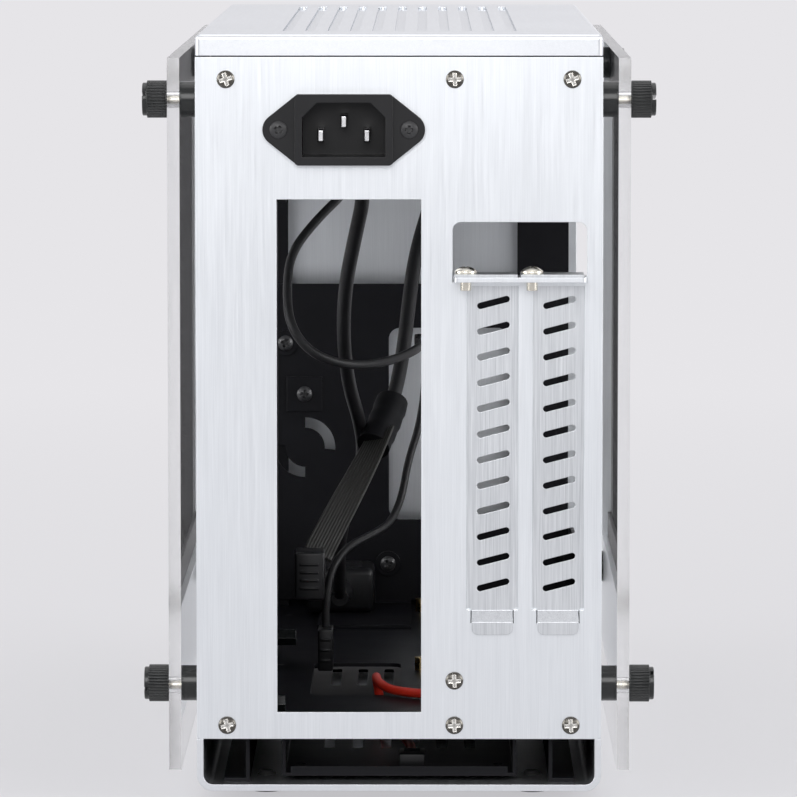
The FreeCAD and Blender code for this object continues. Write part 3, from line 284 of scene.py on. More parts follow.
# clear sheet: polished broad faces, which look along X, and sawn edges that are a little frosted
sheetFinish = {
    "index": 1.49, "tint": (0.98, 0.985, 0.99, 1), "edgeCut": 0.5, "edgeRough": 0.16,
    "sawMarks": 0.12, "sawScale": (900, 60, 60),
}


def clearSheet(name, finish):
    material, start = newMaterial(name)
    normal = start.node("ShaderNodeNewGeometry", None, None, "True Normal")
    edge = abs(start.node("ShaderNodeSeparateXYZ", None, {0: normal}, "X")) < finish["edgeCut"]
    sawMarks = stretchedNoise(start, finish["sawScale"], plainNoise)
    glass = start.node("ShaderNodeBsdfPrincipled", None, {
        "Base Color": finish["tint"],
        "Transmission Weight": 1.0,
        "IOR": finish["index"],
        "Roughness": edge * (finish["edgeRough"] + sawMarks * finish["sawMarks"]),
    })
    # light that only brightens other pieces goes straight through
    through = start.maths("MAXIMUM", lightRay(start, "Is Shadow Ray"), lightRay(start, "Is Diffuse Ray"))
    clear = start.node("ShaderNodeBsdfTransparent", None, {"Color": finish["tint"]})
    showSurface(start, start.node("ShaderNodeMixShader", None, {0: through, 1: glass, 2: clear}))
    return material


materials = {
    "panelMetal": brushedAluminium("brushedUpright", "Z", brushedSheet),
    "shellMetal": brushedAluminium("brushedLengthwise", "Y", shellSheet),
    "coverMetal": brushedAluminium("brushedCover", "Z", coverSheet),
    "clearSheet": clearSheet("clearSheet", sheetFinish),
}
for coatName, coatSettings in coats.items():
    materials[coatName] = speckledCoat(coatName, dict(plainCoat, **coatSettings))
slotFinishes = {
    "brushed_aluminium": "shellMetal", "cover_aluminium": "coverMetal", "black_steel": "powderBlack",
    "clear_sheet": "clearSheet", "black_metal": "anodisedBlack", "nickel": "nickelPlate",
    "black_screw": "blackOxide", "inlet_plastic": "mouldedBlack", "blade_metal": "bladeMetal",
    "brass": "turnedBrass", "rubber": "footRubber", "board": "boardMask", "port_metal": "tinPlate",
    "lead_black": "blackJacket", "plug_black": "mouldedBlack",
    "lead_red": "redJacket", "plug_red": "redJacket",
}
uprightGrain = ("rear_panel", "front_panel", "power_button")


def setMaterial(mesh, material):
    mesh.materials.clear()
    mesh.materials.append(material)


for nodeName, row in rows.items():
    chosen = "panelMetal" if nodeName in uprightGrain else slotFinishes[row["material_slot"]]
    setMaterial(nodes[nodeName].data, materials[chosen])
print("materials made:", len(materials))


def placed(name, data):
    item = bpy.data.objects.new(name, data)
    bpy.context.scene.collection.objects.link(item)
    return item


def bakedMesh(holder):
    # the plain mesh that an object's modifiers or curve make; the object itself goes
    bpy.context.view_layer.update()
    evaluated = holder.evaluated_get(bpy.context.evaluated_depsgraph_get())
    made = bpy.data.meshes.new_from_object(evaluated)
    bpy.data.objects.remove(holder)
    return made


def meshOf(form, name):
    mesh = bpy.data.meshes.new(name)
    form.to_mesh(mesh)
    form.free()
    return mesh


def joinedMesh(name, parts):
    form = bmesh.new()
    for part in parts:
        form.from_mesh(part)
    return meshOf(form, name)


def blockForm(low, high):
    form = bmesh.new()
    for corner in bmesh.ops.create_cube(form, size=1.0)["verts"]:
        corner.co = Vector([(a + b) / 2 + c * (b - a) for a, b, c in zip(low, high, corner.co)])
    return form


def roundEdges(form, edges, offset, segments):
    bmesh.ops.bevel(form, geom=edges, offset=offset, segments=segments, affect="EDGES", profile=0.5)


def ringMesh(name, rings, capped):
    # skins rings of places with faces; a ring that is one place makes a tip
    form = bmesh.new()
    loops = [[form.verts.new(place) for place in ring] for ring in rings]
    steps = max(len(loop) for loop in loops)
    loops = [loop * (steps // len(loop)) for loop in loops]
    for lower, upper in zip(loops, loops[1:]):
        for step in range(steps):
            corners = dict.fromkeys((lower[step - 1], lower[step], upper[step], upper[step - 1]))
            if len(corners) > 2:
                form.faces.new(list(corners))
    if capped:
        form.faces.new(loops[0])
        form.faces.new(loops[-1])
    bmesh.ops.recalc_face_normals(form, faces=form.faces)
    return meshOf(form, name)


def anglesAround(steps):
    return [2 * math.pi * step / steps for step in range(steps)]


def turnedMesh(name, outline, steps):
    # spins an outline of radius and height pairs about Z
    rings = []
    for radius, height in outline:
        angles = anglesAround(steps) if radius else [0.0]
        rings.append([(radius * math.cos(a), radius * math.sin(a), height) for a in angles])
    return ringMesh(name, rings, False)


def cutMesh(name, body, cutter):
    # takes one mesh out of another and hands back the result
    solid = placed(name, body)
    tool = placed(name + "Tool", cutter)
    cut = solid.modifiers.new("cut", "BOOLEAN")
    cut.operation = "DIFFERENCE"
    cut.solver = "EXACT"
    cut.object = tool
    made = bakedMesh(solid)
    bpy.data.objects.remove(tool)
    return made


def shadeByAngle(mesh, degrees):
    mesh.shade_smooth()
    mesh.set_sharp_from_angle(angle=math.radians(degrees))


weldReach = 1e-6


def standingForm(node):
    # a node's mesh where it stands, with its corners welded
    form = bmesh.new()
    form.from_mesh(nodes[node].data)
    form.transform(nodes[node].matrix_world)
    bmesh.ops.remove_doubles(form, verts=form.verts, dist=weldReach)
    return form


def solidBoxes(node):
    # lowest and highest corner of each separate solid in a node's mesh
    form = standingForm(node)
    waiting = set(form.verts)
    boxes = []
    for first in form.verts:
        if first not in waiting:
            continue
        waiting.discard(first)
        front = [first]
        group = []
        while front:
            vert = front.pop()
            group.append(vert.co.copy())
            beside = waiting.intersection(edge.other_vert(vert) for edge in vert.link_edges)
            waiting -= beside
            front.extend(beside)
        low = Vector([min(place[axis] for place in group) for axis in range(3)])
        high = Vector([max(place[axis] for place in group) for axis in range(3)])
        boxes.append((low, high))
    form.free()
    return boxes


# repeats: one tree sets a pattern piece on marked points, facing outwards, with a seeded turn
def growTree(name, sockets):
    tree = bpy.data.node_groups.new(name, "GeometryNodeTree")
    for label, kind in [("Geometry", "NodeSocketGeometry"), *sockets]:
        tree.interface.new_socket(label, in_out="INPUT", socket_type=kind)
    tree.interface.new_socket("Geometry", in_out="OUTPUT", socket_type="NodeSocketGeometry")
    return tree, Wire(tree)


def treeInput(start, label):
    return start.node("NodeGroupInput", None, None, label)


def objectShape(start, label):
    return start.node("GeometryNodeObjectInfo", None, {"Object": treeInput(start, label)}, "Geometry")


def endTree(start, grownShape):
    # makes the copies real, gives them the finish and hands them out
    solid = start.node("GeometryNodeRealizeInstances", None, {"Geometry": grownShape})
    done = start.node("GeometryNodeSetMaterial", None,
                      {"Geometry": solid, "Material": treeInput(start, "Finish")})
    start.node("NodeGroupOutput", None, {"Geometry": done})


def scatterTree():
    tree, start = growTree("setOnPoints", [
        ("Pattern", "NodeSocketObject"), ("Finish", "NodeSocketMaterial"),
        ("Turn", "NodeSocketFloat"), ("Seed", "NodeSocketInt"),
    ])
    points = start.node("GeometryNodeMeshToPoints", None, {"Mesh": treeInput(start, "Geometry")})
    outward = start.node("GeometryNodeInputNamedAttribute", {"data_type": "FLOAT_VECTOR"},
                         {"Name": "outward"})
    facing = start.node("FunctionNodeAlignRotationToVector", {"axis": "Z"}, {"Vector": outward})
    # sockets 2 and 3 are the least and the greatest number, and output 1 is the draw
    spin = start.node("FunctionNodeRandomValue", {"data_type": "FLOAT"},
                      {2: 0.0, 3: treeInput(start, "Turn"), "Seed": treeInput(start, "Seed")}, 1)
    twist = start.node("FunctionNodeAxisAngleToRotation", None, {"Axis": (0, 0, 1), "Angle": spin})
    turned = start.node("FunctionNodeRotateRotation", {"rotation_space": "LOCAL"},
                        {"Rotation": facing, "Rotate By": twist})
    copies = start.node("GeometryNodeInstanceOnPoints", None, {
        "Points": points, "Instance": objectShape(start, "Pattern"), "Rotation": turned,
    })
    endTree(start, copies)
    return tree


def grown(name, mesh, tree, values):
    # runs the tree on a carrier mesh and hands back the plain mesh
    carrier = placed(name, mesh)
    modifier = carrier.modifiers.new("grow", "NODES")
    modifier.node_group = tree
    for item in tree.interface.items_tree:
        if item.in_out == "INPUT" and item.name in values:
            modifier[item.identifier] = values[item.name]
    made = bakedMesh(carrier)
    setMaterial(made, values["Finish"])
    made.polygons.foreach_set("material_index", [0] * len(made.polygons))
    return made


def pointsMesh(name, marks):
    mesh = bpy.data.meshes.new(name)
    mesh.from_pydata([place for place, outward in marks], [], [])
    field = mesh.attributes.new("outward", "FLOAT_VECTOR", "POINT")
    for mark, (place, outward) in zip(field.data, marks):
        mark.vector = outward
    return mesh


setOnPoints = scatterTree()


def setCopies(name, marks, shape, finish, turn, seed):
    pattern = placed(name + "Pattern", shape)
    mesh = grown(name, pointsMesh(name, marks), setOnPoints,
                 {"Pattern": pattern, "Finish": materials[finish], "Turn": turn, "Seed": seed})
    bpy.data.objects.remove(pattern)
    return mesh


# screws: domed pan heads with a cross recess, broad and shallow in the panels and deep elsewhere
panScrew = {
    "head": 0.0055, "height": 0.0017, "rim": 0.00062, "edge": 0.00016, "shank": 0.0028, "reach": 0.0050,
    "crossLength": 0.0046, "crossWidth": 0.00125, "crossDepth": 0.0006,
    "crossFoot": 0.42, "crossCrown": 0.58, "spin": 0.4,
    "steps": 40, "domeSteps": 7, "domeShare": 0.97, "smooth": 32,
}
deepCross = dict(
    panScrew, crossLength=0.0034, crossWidth=0.00092, crossDepth=0.00125, crossFoot=0.28, crossCrown=0.72,
    spin=2 * math.pi,
)
coverScrew = dict(
    deepCross, head=0.0068, height=0.0022, rim=0.0008, shank=0.0034, reach=0.0052,
    crossLength=0.0038, crossWidth=0.0009, crossDepth=0.0012,
)
inletScrew = dict(deepCross, head=0.0054, height=0.0012, rim=0.0004, crossLength=0.0031, crossDepth=0.0008)
chassisScrew = dict(deepCross, reach=0.0022)


def crossCutter(settings):
    # plus-shaped plug, narrower at its foot
    half, height = settings["crossWidth"] / 2, settings["height"]
    length, depth = settings["crossLength"], settings["crossDepth"]
    rings = []
    for level, share in ((height - depth, settings["crossFoot"]), (height + depth, settings["crossCrown"])):
        quarter = [(length * share, -half), (length * share, half), (half, half)]
        turns = [Matrix.Rotation(turn * math.pi / 2, 2) for turn in range(4)]
        rings.append([(*(turn @ Vector(place)), level) for turn in turns for place in quarter])
    return ringMesh("cross", rings, True)


def screwMesh(settings):
    edge, bevel, height = settings["head"] / 2, settings["edge"], settings["height"]
    shank, reach, rim = settings["shank"] / 2, settings["reach"], settings["rim"]
    rise = height - rim
    ball = (edge ** 2 + rise ** 2) / (2 * rise)
    sweep = math.asin(edge / ball) * settings["domeShare"]
    outline = [
        (0, -reach), (shank, -reach), (shank, 0),
        (edge - bevel, 0), (edge, bevel), (edge, rim - bevel),
    ]
    for step in range(settings["domeSteps"]):
        angle = sweep * (1 - step / settings["domeSteps"])
        outline.append((ball * math.sin(angle), height - ball + ball * math.cos(angle)))
    outline.append((0, height))
    made = cutMesh("screw", turnedMesh("screw", outline, settings["steps"]), crossCutter(settings))
    shadeByAngle(made, settings["smooth"])
    return made


def seatMarks(node, settings, outwardOf):
    # seat and outward direction of each screw, from the boxes of the node's solids
    marks = []
    for low, high in solidBoxes(node):
        size = high - low
        axis = max(range(3), key=lambda side: abs(size[side] - settings["head"]))  # the one not a head wide
        middle = (low + high) / 2
        outward = Vector((0, 0, 0))
        outward[axis] = outwardOf(middle, axis)
        half = (settings["height"] + settings["reach"]) / 2
        marks.append((middle + outward * (half - settings["height"]), outward))
    return marks


def seatScrews(node, settings, finish, outwardOf, seed):
    marks = seatMarks(node, settings, outwardOf)
    mesh = setCopies(node + "_set", marks, screwMesh(settings), finish, settings["spin"], seed)
    piece = placed(node + "_set", mesh)
    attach(piece, "case")
    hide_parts(node)
    return len(marks)


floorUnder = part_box("floor_pan")[0].z
floorSlack = 0.001


def chassisSide(middle, axis):
    # screws along the depth face the rear, and those at the floor's underside face down
    return -1 if axis == 1 or middle.z < floorUnder + floorSlack else 1


screwCount = seatScrews("rear_panel_screws", panScrew, "screwNickelPaintedReflection", lambda middle, axis: -1, 4)
screwCount += seatScrews("front_panel_screws", panScrew, "screwNickelPaintedReflection", lambda middle, axis: 1, 9)
screwCount += seatScrews("slot_cover_screws", coverScrew, "nickelPlate", lambda middle, axis: 1, 2)
screwCount += seatScrews("inlet_screws", inletScrew, "blackOxide", lambda middle, axis: -1, 6)
screwCount += seatScrews("chassis_screws", chassisScrew, "blackOxide", chassisSide, 5)


# black screws in the tapped holes of the supply bracket, places across and above the shell
bracketScrews = {
    "places": [(-0.0352, 0.0953), (-0.0420, 0.1136), (-0.0053, 0.0341)], "seat": 0.0020, "seed": 7,
}


def fillBracket(settings, screw):
    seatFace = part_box("psu_bracket")[1].y - settings["seat"]
    marks = [(Vector((across, seatFace, footHeight + height)), Vector((0, -1, 0)))
             for across, height in settings["places"]]
    mesh = setCopies("bracket_screws", marks, screwMesh(screw), "blackOxide", screw["spin"],
                     settings["seed"])
    piece = placed("bracket_screws", mesh)
    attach(piece, "case")
    return len(marks)


screwCount += fillBracket(bracketScrews, chassisScrew)
print("screws seated:", screwCount)


# thumb screws: ribbed black knobs on bright shanks
thumbKnob = {
    "radius": 0.00575, "core": 0.00532, "tipRadius": 0.0051, "collar": 0.0006, "grip": 0.0066,
    "length": 0.0078, "chamfer": 0.00025, "slotWidth": 0.0014, "slotDepth": 0.0011, "steps": 72,
    "ribs": 36, "ribWidth": 0.00052, "ribSink": 0.0003, "ribRound": 0.00012, "ribSteps": 2,
    "shank": 0.0018, "shankSteps": 24, "spin": 0.65, "smooth": 35,
}


def ribbedTree():
    tree, start = growTree("ribbedKnob", [
        ("Core", "NodeSocketObject"), ("Rib", "NodeSocketObject"), ("Ribs", "NodeSocketInt"),
        ("Radius", "NodeSocketFloat"), ("Finish", "NodeSocketMaterial"),
    ])
    ring = start.node("GeometryNodeMeshCircle", None,
                      {"Vertices": treeInput(start, "Ribs"), "Radius": treeInput(start, "Radius")})
    place = start.node("GeometryNodeInputPosition")
    facing = start.node("FunctionNodeAlignRotationToVector", {"axis": "X", "pivot_axis": "Z"},
                        {"Vector": place})
    ribs = start.node("GeometryNodeInstanceOnPoints", None, {
        "Points": ring, "Instance": objectShape(start, "Rib"), "Rotation": facing,
    })
    joined = start.node("GeometryNodeJoinGeometry", None, {"Geometry": ribs})
    tree.links.new(objectShape(start, "Core").socket, joined.socket.node.inputs["Geometry"])
    endTree(start, joined)
    return tree


def knobMesh(settings):
    wide, core, tip, cut = (settings[key] for key in ("radius", "core", "tipRadius", "chamfer"))
    collar, grip, length = (settings[key] for key in ("collar", "grip", "length"))
    outline = [
        (0, 0), (wide - cut, 0), (wide, cut), (wide, collar - cut), (wide - cut, collar),
        (core, collar), (core, grip - cut), (core - cut, grip),
        (tip, grip), (tip, length - cut), (tip - cut, length), (0, length),
    ]
    body = turnedMesh("knobCore", outline, settings["steps"])
    half = settings["slotWidth"] / 2
    slotForm = blockForm((-wide, -half, length - settings["slotDepth"]), (wide, half, length + cut))
    coreObject = placed("knobCore", cutMesh("knobCore", body, meshOf(slotForm, "knobSlot")))
    half = settings["ribWidth"] / 2
    ribForm = blockForm((-settings["ribSink"], -half, collar - cut), (wide - core, half, grip - cut))
    outerEdges = [edge for edge in ribForm.edges if all(vert.co.x > 0 for vert in edge.verts)]
    roundEdges(ribForm, outerEdges, settings["ribRound"], settings["ribSteps"])
    ribObject = placed("knobRib", meshOf(ribForm, "knobRib"))
    made = grown("knob", bpy.data.meshes.new("knobStart"), ribbedTree(), {
        "Core": coreObject, "Rib": ribObject, "Ribs": settings["ribs"], "Radius": core,
        "Finish": materials["anodisedBlack"],
    })
    bpy.data.objects.remove(coreObject)
    bpy.data.objects.remove(ribObject)
    return made


def fitKnob(node, knob, settings, turn):
    low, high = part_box(node)
    middle = (low + high) / 2
    side = 1 if middle.x > 0 else -1
    base = (high.x if side > 0 else low.x) - side * settings["length"]
    foot = settings["length"] - (high.x - low.x)
    radius, cut = settings["shank"], settings["chamfer"]
    shankOutline = [(0, foot), (radius - cut, foot), (radius, foot + cut), (radius, 0)]
    shank = turnedMesh("shank", shankOutline, settings["shankSteps"])
    shank.polygons.foreach_set("material_index", [1] * len(shank.polygons))
    mesh = joinedMesh(node, [knob, shank])
    mesh.materials.append(materials["anodisedBlack"])
    mesh.materials.append(materials["nickelPlate"])
    shadeByAngle(mesh, settings["smooth"])
    facing = Matrix.Rotation(side * math.pi / 2, 4, "Y") @ Matrix.Rotation(turn, 4, "Z")
    mesh.transform(Matrix.Translation((base, middle.y, middle.z)) @ facing)
    piece = placed(node + "_knob", mesh)
    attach(piece, node)
    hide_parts(node)


knobShape = knobMesh(thumbKnob)
knobNodes = [name for name in sorted(nodes) if name.startswith("thumb_screw_")]
for knobCount, knobNode in enumerate(knobNodes):
    fitKnob(knobNode, knobShape, thumbKnob, thumbKnob["spin"] * knobCount)
print("thumb screws fitted:", len(knobNodes))


# rear right post: stands open beside the card window, so that light shows through the window's end
openPost = {"node": "rear_right_post", "foot": 0.079, "crown": 0.190, "spare": 0.001}


def makeOpenPost(settings):
    node, spare = settings["node"], settings["spare"]
    low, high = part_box(node)
    gapLow = (low.x - spare, low.y - spare, settings["foot"])
    gapHigh = (high.x + spare, high.y + spare, settings["crown"])
    post = meshOf(standingForm(node), node)
    mesh = cutMesh("openPost", post, meshOf(blockForm(gapLow, gapHigh), "postGap"))
    setMaterial(mesh, materials["powderBlack"])
    piece = placed(node + "_open", mesh)
    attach(piece, "case")
    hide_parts(node)


makeOpenPost(openPost)


# inlet blades: flat bars whose tips are chamfered
inletBlade = {"tip": 0.0004, "tipRun": 0.0009}


def makeBlades(settings):
    blades = []
    for low, high in solidBoxes("inlet_pins"):
        rings = []
        for depth, inset in ((low.y, settings["tip"]), (low.y + settings["tipRun"], 0), (high.y, 0)):
            left, right, foot, crown = low.x + inset, high.x - inset, low.z + inset, high.z - inset
            around = ((left, foot), (right, foot), (right, crown), (left, crown))
            rings.append([(x, depth, z) for x, z in around])
        blades.append(ringMesh("blade", rings, True))
    mesh = joinedMesh("inlet_blades", blades)
    setMaterial(mesh, materials["bladeMetal"])
    piece = placed("inlet_blades", mesh)
    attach(piece, "case")
    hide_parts("inlet_pins")


makeBlades(inletBlade)
print("post opened and inlet blades set")


# plugs: moulded blocks with rounded edges and grip ridges; axes are 0, 1 and 2 for X, Y and Z
plugForms = {
    "mains_plug": {"bevel": 0.0024, "ridges": 5, "ridgeAxis": 1, "ridgeFace": 2, "finish": "mouldedBlack"},
    "header_plug": {"bevel": 0.0008, "ridges": 4, "ridgeAxis": 2, "ridgeFace": 1, "finish": "mouldedBlack"},
    "switch_plug": {"bevel": 0.0005, "ridges": 3, "ridgeAxis": 1, "ridgeFace": 2, "finish": "mouldedBlack"},
    "audio_plug": {"bevel": 0.0006, "ridges": 3, "ridgeAxis": 2, "ridgeFace": 1, "finish": "mouldedBlack"},
    "red_plug_floor": {"bevel": 0.0006, "ridges": 3, "ridgeAxis": 1, "ridgeFace": 2, "finish": "redJacket"},
    "red_plug_bay": {"bevel": 0.0006, "ridges": 3, "ridgeAxis": 1, "ridgeFace": 2, "finish": "mouldedBlack"},
}
plugRidge = {"share": 0.62, "width": 0.0008, "proud": 0.0003, "span": 0.5, "round": 0.6, "roundSteps": 2}
plugBlock = {"roundSteps": 3, "smooth": 40}


def makePlug(node, settings, ridge, block):
    low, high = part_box(node)
    size = high - low
    blockShape = blockForm(low, high)
    roundEdges(blockShape, list(blockShape.edges), settings["bevel"], block["roundSteps"])
    along, face = settings["ridgeAxis"], settings["ridgeFace"]
    across = 3 - along - face
    half = Vector((0, 0, 0))
    half[along] = ridge["width"] / 2
    half[across] = size[across] * ridge["share"] / 2
    half[face] = ridge["proud"]
    ridgeShape = blockForm(-half, half)
    roundEdges(ridgeShape, list(ridgeShape.edges), ridge["proud"] * ridge["round"], ridge["roundSteps"])
    marks = []
    for step in range(settings["ridges"]):
        place = (low + high) / 2
        place[along] += size[along] * ridge["span"] * (step / (settings["ridges"] - 1) - 0.5)
        place[face] = high[face] if face == 2 else low[face]  # on top, or towards the rear
        marks.append((place, (0, 0, 1)))
    ridges = setCopies(node, marks, meshOf(ridgeShape, node + "Ridge"), settings["finish"], 0.0, 0)
    mesh = joinedMesh(node, [ridges, meshOf(blockShape, node)])
    setMaterial(mesh, materials[settings["finish"]])
    shadeByAngle(mesh, block["smooth"])
    plug = placed(node + "_moulding", mesh)
    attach(plug, "case")
    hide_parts(node)
    return plug


plugs = {node: makePlug(node, settings, plugRidge, plugBlock) for node, settings in plugForms.items()}
print("plugs moulded:", len(plugs))


# leads: points are across, depth from the rear face and height above the shell, as in the part's source
leadForm = {"order": 3, "resolution": 10, "roundness": 4}
mainsLead = {
    "node": "mains_lead", "diameter": 0.0046, "length": 0.3155,
    "finish": "blackJacket", "slot": "lead_black", "stiffness": "medium", "farEnd": "plug",
    "pieces": ["mains_plug"],
    "route": [
        (-0.0172, 0.020, 0.1994), (-0.0172, 0.037, 0.1994), (-0.0106, 0.054, 0.184), (-0.0146, 0.070, 0.166),
        (-0.0178, 0.092, 0.1496), (-0.0188, 0.116, 0.1315), (-0.0174, 0.144, 0.113), (-0.014, 0.168, 0.099),
        (-0.0126, 0.190, 0.085), (-0.0165, 0.208, 0.0705), (-0.0215, 0.225, 0.055), (-0.022, 0.240, 0.038),
        (-0.022, 0.254, 0.0279), (-0.022, 0.274, 0.0279),
    ],
}
portLead = {
    "node": "front_port_lead", "diameter": 0.005, "length": 0.2665,
    "finish": "blackJacket", "slot": "lead_black", "stiffness": "medium", "farEnd": "connector",
    "pieces": ["header_plug"],
    "route": [
        (0.020, 0.3094, 0.201), (0.020, 0.289, 0.201), (0.019, 0.268, 0.195), (0.0155, 0.250, 0.183),
        (0.0095, 0.236, 0.167), (0.0046, 0.222, 0.151), (0.0024, 0.208, 0.1355), (0.0006, 0.195, 0.119),
        (-0.003, 0.181, 0.103), (-0.0095, 0.166, 0.090), (-0.017, 0.149, 0.077), (-0.0242, 0.132, 0.065),
        (-0.0294, 0.121, 0.0555), (-0.0294, 0.106, 0.0555),
    ],
}
switchLead = {
    "node": "switch_lead", "diameter": 0.003, "length": 0.3175,
    "finish": "blackJacket", "slot": "lead_black", "stiffness": "limp", "farEnd": "connector",
    "pieces": ["switch_plug"],
    "route": [
        (-0.028, 0.3095, 0.201), (-0.028, 0.288, 0.201), (-0.0245, 0.258, 0.196), (-0.020, 0.228, 0.189),
        (-0.0165, 0.196, 0.1825), (-0.018, 0.165, 0.1765), (-0.028, 0.142, 0.168), (-0.036, 0.122, 0.1585),
        (-0.037, 0.107, 0.148), (-0.036, 0.099, 0.137), (-0.030, 0.0975, 0.1285), (-0.021, 0.101, 0.124),
        (-0.011, 0.110, 0.1225), (-0.001, 0.124, 0.1235), (0.007, 0.142, 0.126), (0.007, 0.160, 0.126),
    ],
}
audioLead = {
    "node": "audio_lead", "diameter": 0.0026, "length": 0.2681,
    "finish": "blackJacket", "slot": "lead_black", "stiffness": "limp", "farEnd": "connector",
    "pieces": ["audio_plug"],
    "route": [
        (0.034, 0.3094, 0.201), (0.034, 0.291, 0.201), (0.028, 0.273, 0.194), (0.020, 0.257, 0.184),
        (0.0135, 0.244, 0.170), (0.010, 0.233, 0.152), (0.009, 0.222, 0.131), (0.0084, 0.210, 0.111),
        (0.0064, 0.198, 0.095), (0.0022, 0.190, 0.083), (0.0002, 0.185, 0.071), (-0.0038, 0.176, 0.063),
        (-0.011, 0.162, 0.0605), (-0.019, 0.148, 0.058), (-0.025, 0.140, 0.048), (-0.025, 0.140, 0.0327),
    ],
}
redLead = {
    "node": "red_lead", "diameter": 0.003, "length": 0.1857,
    "finish": "redJacket", "slot": "lead_red", "stiffness": "limp", "farEnd": "connector",
    "pieces": ["red_plug_floor", "red_plug_bay"],
    "route": [
        (0.004, 0.026, 0.0071), (0.004, 0.046, 0.0071), (0.001, 0.068, 0.0071), (-0.003, 0.086, 0.0071),
        (-0.0055, 0.106, 0.0071), (-0.0065, 0.1102, 0.0113), (-0.0075, 0.1102, 0.0173),
        (-0.008, 0.106, 0.0215), (-0.0075, 0.092, 0.0211), (-0.003, 0.076, 0.0206), (0.008, 0.068, 0.0205),
        (0.020, 0.066, 0.0206), (0.029, 0.060, 0.021), (0.030, 0.052, 0.0213), (0.030, 0.038, 0.0213),
    ],
}


def fromRear(across, depth, height):
    return Vector((across, rearFace + depth, footHeight + height))


def makeLead(settings, form):
    curve = bpy.data.curves.new(settings["node"] + "_line", "CURVE")
    curve.dimensions = "3D"
    spline = curve.splines.new("NURBS")
    spline.points.add(len(settings["route"]) - 1)
    for knot, place in zip(spline.points, settings["route"]):
        knot.co = (*fromRear(*place), 1.0)
    spline.order_u = form["order"]
    spline.use_endpoint_u = True
    spline.resolution_u = form["resolution"]
    curve.bevel_depth = settings["diameter"] / 2
    curve.bevel_resolution = form["roundness"]
    curve.use_fill_caps = True
    curve.materials.append(materials[settings["finish"]])
    lead = placed(settings["node"] + "_line", curve)
    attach(lead, "case")
    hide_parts(settings["node"])
    fromRear(*settings["route"][0])
    return lead


leads = {settings["node"]: makeLead(settings, leadForm)
         for settings in (mainsLead, portLead, switchLead, audioLead, redLead)}
print("leads laid:", len(leads))


def leadStretch(lead, settings):
    # places along a lead's centreline, between two shares of it
    bare = lead.data.copy()
    bare.bevel_depth = 0
    line = [vert.co.copy() for vert in bakedMesh(placed("bareLine", bare)).vertices]
    return line[int(len(line) * settings["from"]):int(len(line) * settings["to"])]


def runAt(line, index):
    # direction of a line of places at one of them
    return (line[min(index + 1, len(line) - 1)] - line[max(index - 1, 0)]).normalized()


def sleeveMesh(name, line, radii, settings):
    rings = []
    for index, (place, radius) in enumerate(zip(line, radii)):
        ahead = runAt(line, index)
        side = ahead.cross(Vector((1, 0, 0))).normalized()
        up = ahead.cross(side)
        rings.append([place + side * (radius * math.cos(a)) + up * (radius * math.sin(a))
                      for a in anglesAround(settings["turns"])])
    mesh = ringMesh(name, rings, True)
    shadeByAngle(mesh, settings["smooth"])
    return mesh


def fitOnLead(name, mesh, finish):
    setMaterial(mesh, materials[finish])
    piece = placed(name, mesh)
    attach(piece, "case")


# boot behind the mains plug: a taper with rings cut into it
leadBoot = {
    "wide": 0.0046, "slim": 0.0031, "length": 0.022, "rings": 6, "step": 0.0005, "turns": 28, "smooth": 50,
}


def makeBoot(settings):
    entry = fromRear(*mainsLead["route"][-1])
    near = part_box("mains_plug")[0].y + plugForms["mains_plug"]["bevel"]
    line = []
    radii = []
    for step in range(settings["rings"] * 2 + 1):
        share = step / (settings["rings"] * 2)
        line.append(Vector((entry.x, near - settings["length"] * share, entry.z)))
        taper = settings["wide"] + (settings["slim"] - settings["wide"]) * share
        radii.append(taper - settings["step"] * (step % 2))
    fitOnLead("mains_boot", sleeveMesh("mains_boot", line, radii, settings), "mouldedBlack")


# tape that holds the front leads together, in laps
leadTape = {
    "from": 0.62, "to": 0.71, "radius": 0.0054, "lap": 0.0003, "lapSteps": 3, "turns": 24, "smooth": 50,
}


def makeTape(settings):
    line = leadStretch(leads["front_port_lead"], settings)
    rises = [index % settings["lapSteps"] / (settings["lapSteps"] - 1) for index in range(len(line))]
    radii = [settings["radius"] + settings["lap"] * rise for rise in rises]
    fitOnLead("bundle_tape", sleeveMesh("bundle_tape", line, radii, settings), "wrapTape")


# flat ribbon of parallel wires that runs down the lead from the tape to the header plug, with a slow twist
leadRibbon = {
    "from": 0.68, "to": 0.955, "wires": 10, "pitch": 0.00098, "thick": 0.0006, "web": 0.45, "stand": 0.0031,
    "twist": 0.9, "steps": 4, "smooth": 50,
}


def ribbonOutline(settings):
    # half round wires side by side, with thin webs between them
    wires, steps, web = settings["wires"], settings["steps"], settings["web"]
    upper = []
    for count in range(wires * steps + 1):
        arch = abs(math.sin(math.pi * count / steps))
        across = (count / steps - wires / 2) * settings["pitch"]
        upper.append((across, settings["thick"] * (web + (1 - web) * arch)))
    return upper + [(across, -rise) for across, rise in reversed(upper)]


def makeRibbon(settings):
    line = leadStretch(leads["front_port_lead"], settings)
    outline = ribbonOutline(settings)
    rear = Vector((0, -1, 0))
    rings = []
    for index, place in enumerate(line):
        ahead = runAt(line, index)
        towards = (rear - ahead * ahead.dot(rear)).normalized()
        turn = Matrix.Rotation(settings["twist"] * (1 - index / (len(line) - 1)), 3, ahead)
        face = turn @ towards
        across = ahead.cross(face)
        centre = place + towards * settings["stand"]
        rings.append([centre + across * a + face * b for a, b in outline])
    mesh = ringMesh("port_ribbon", rings, True)
    shadeByAngle(mesh, settings["smooth"])
    fitOnLead("port_ribbon", mesh, "ribbonGrey")


makeBoot(leadBoot)
makeTape(leadTape)
makeRibbon(leadRibbon)
print("boot, tape and ribbon fitted")


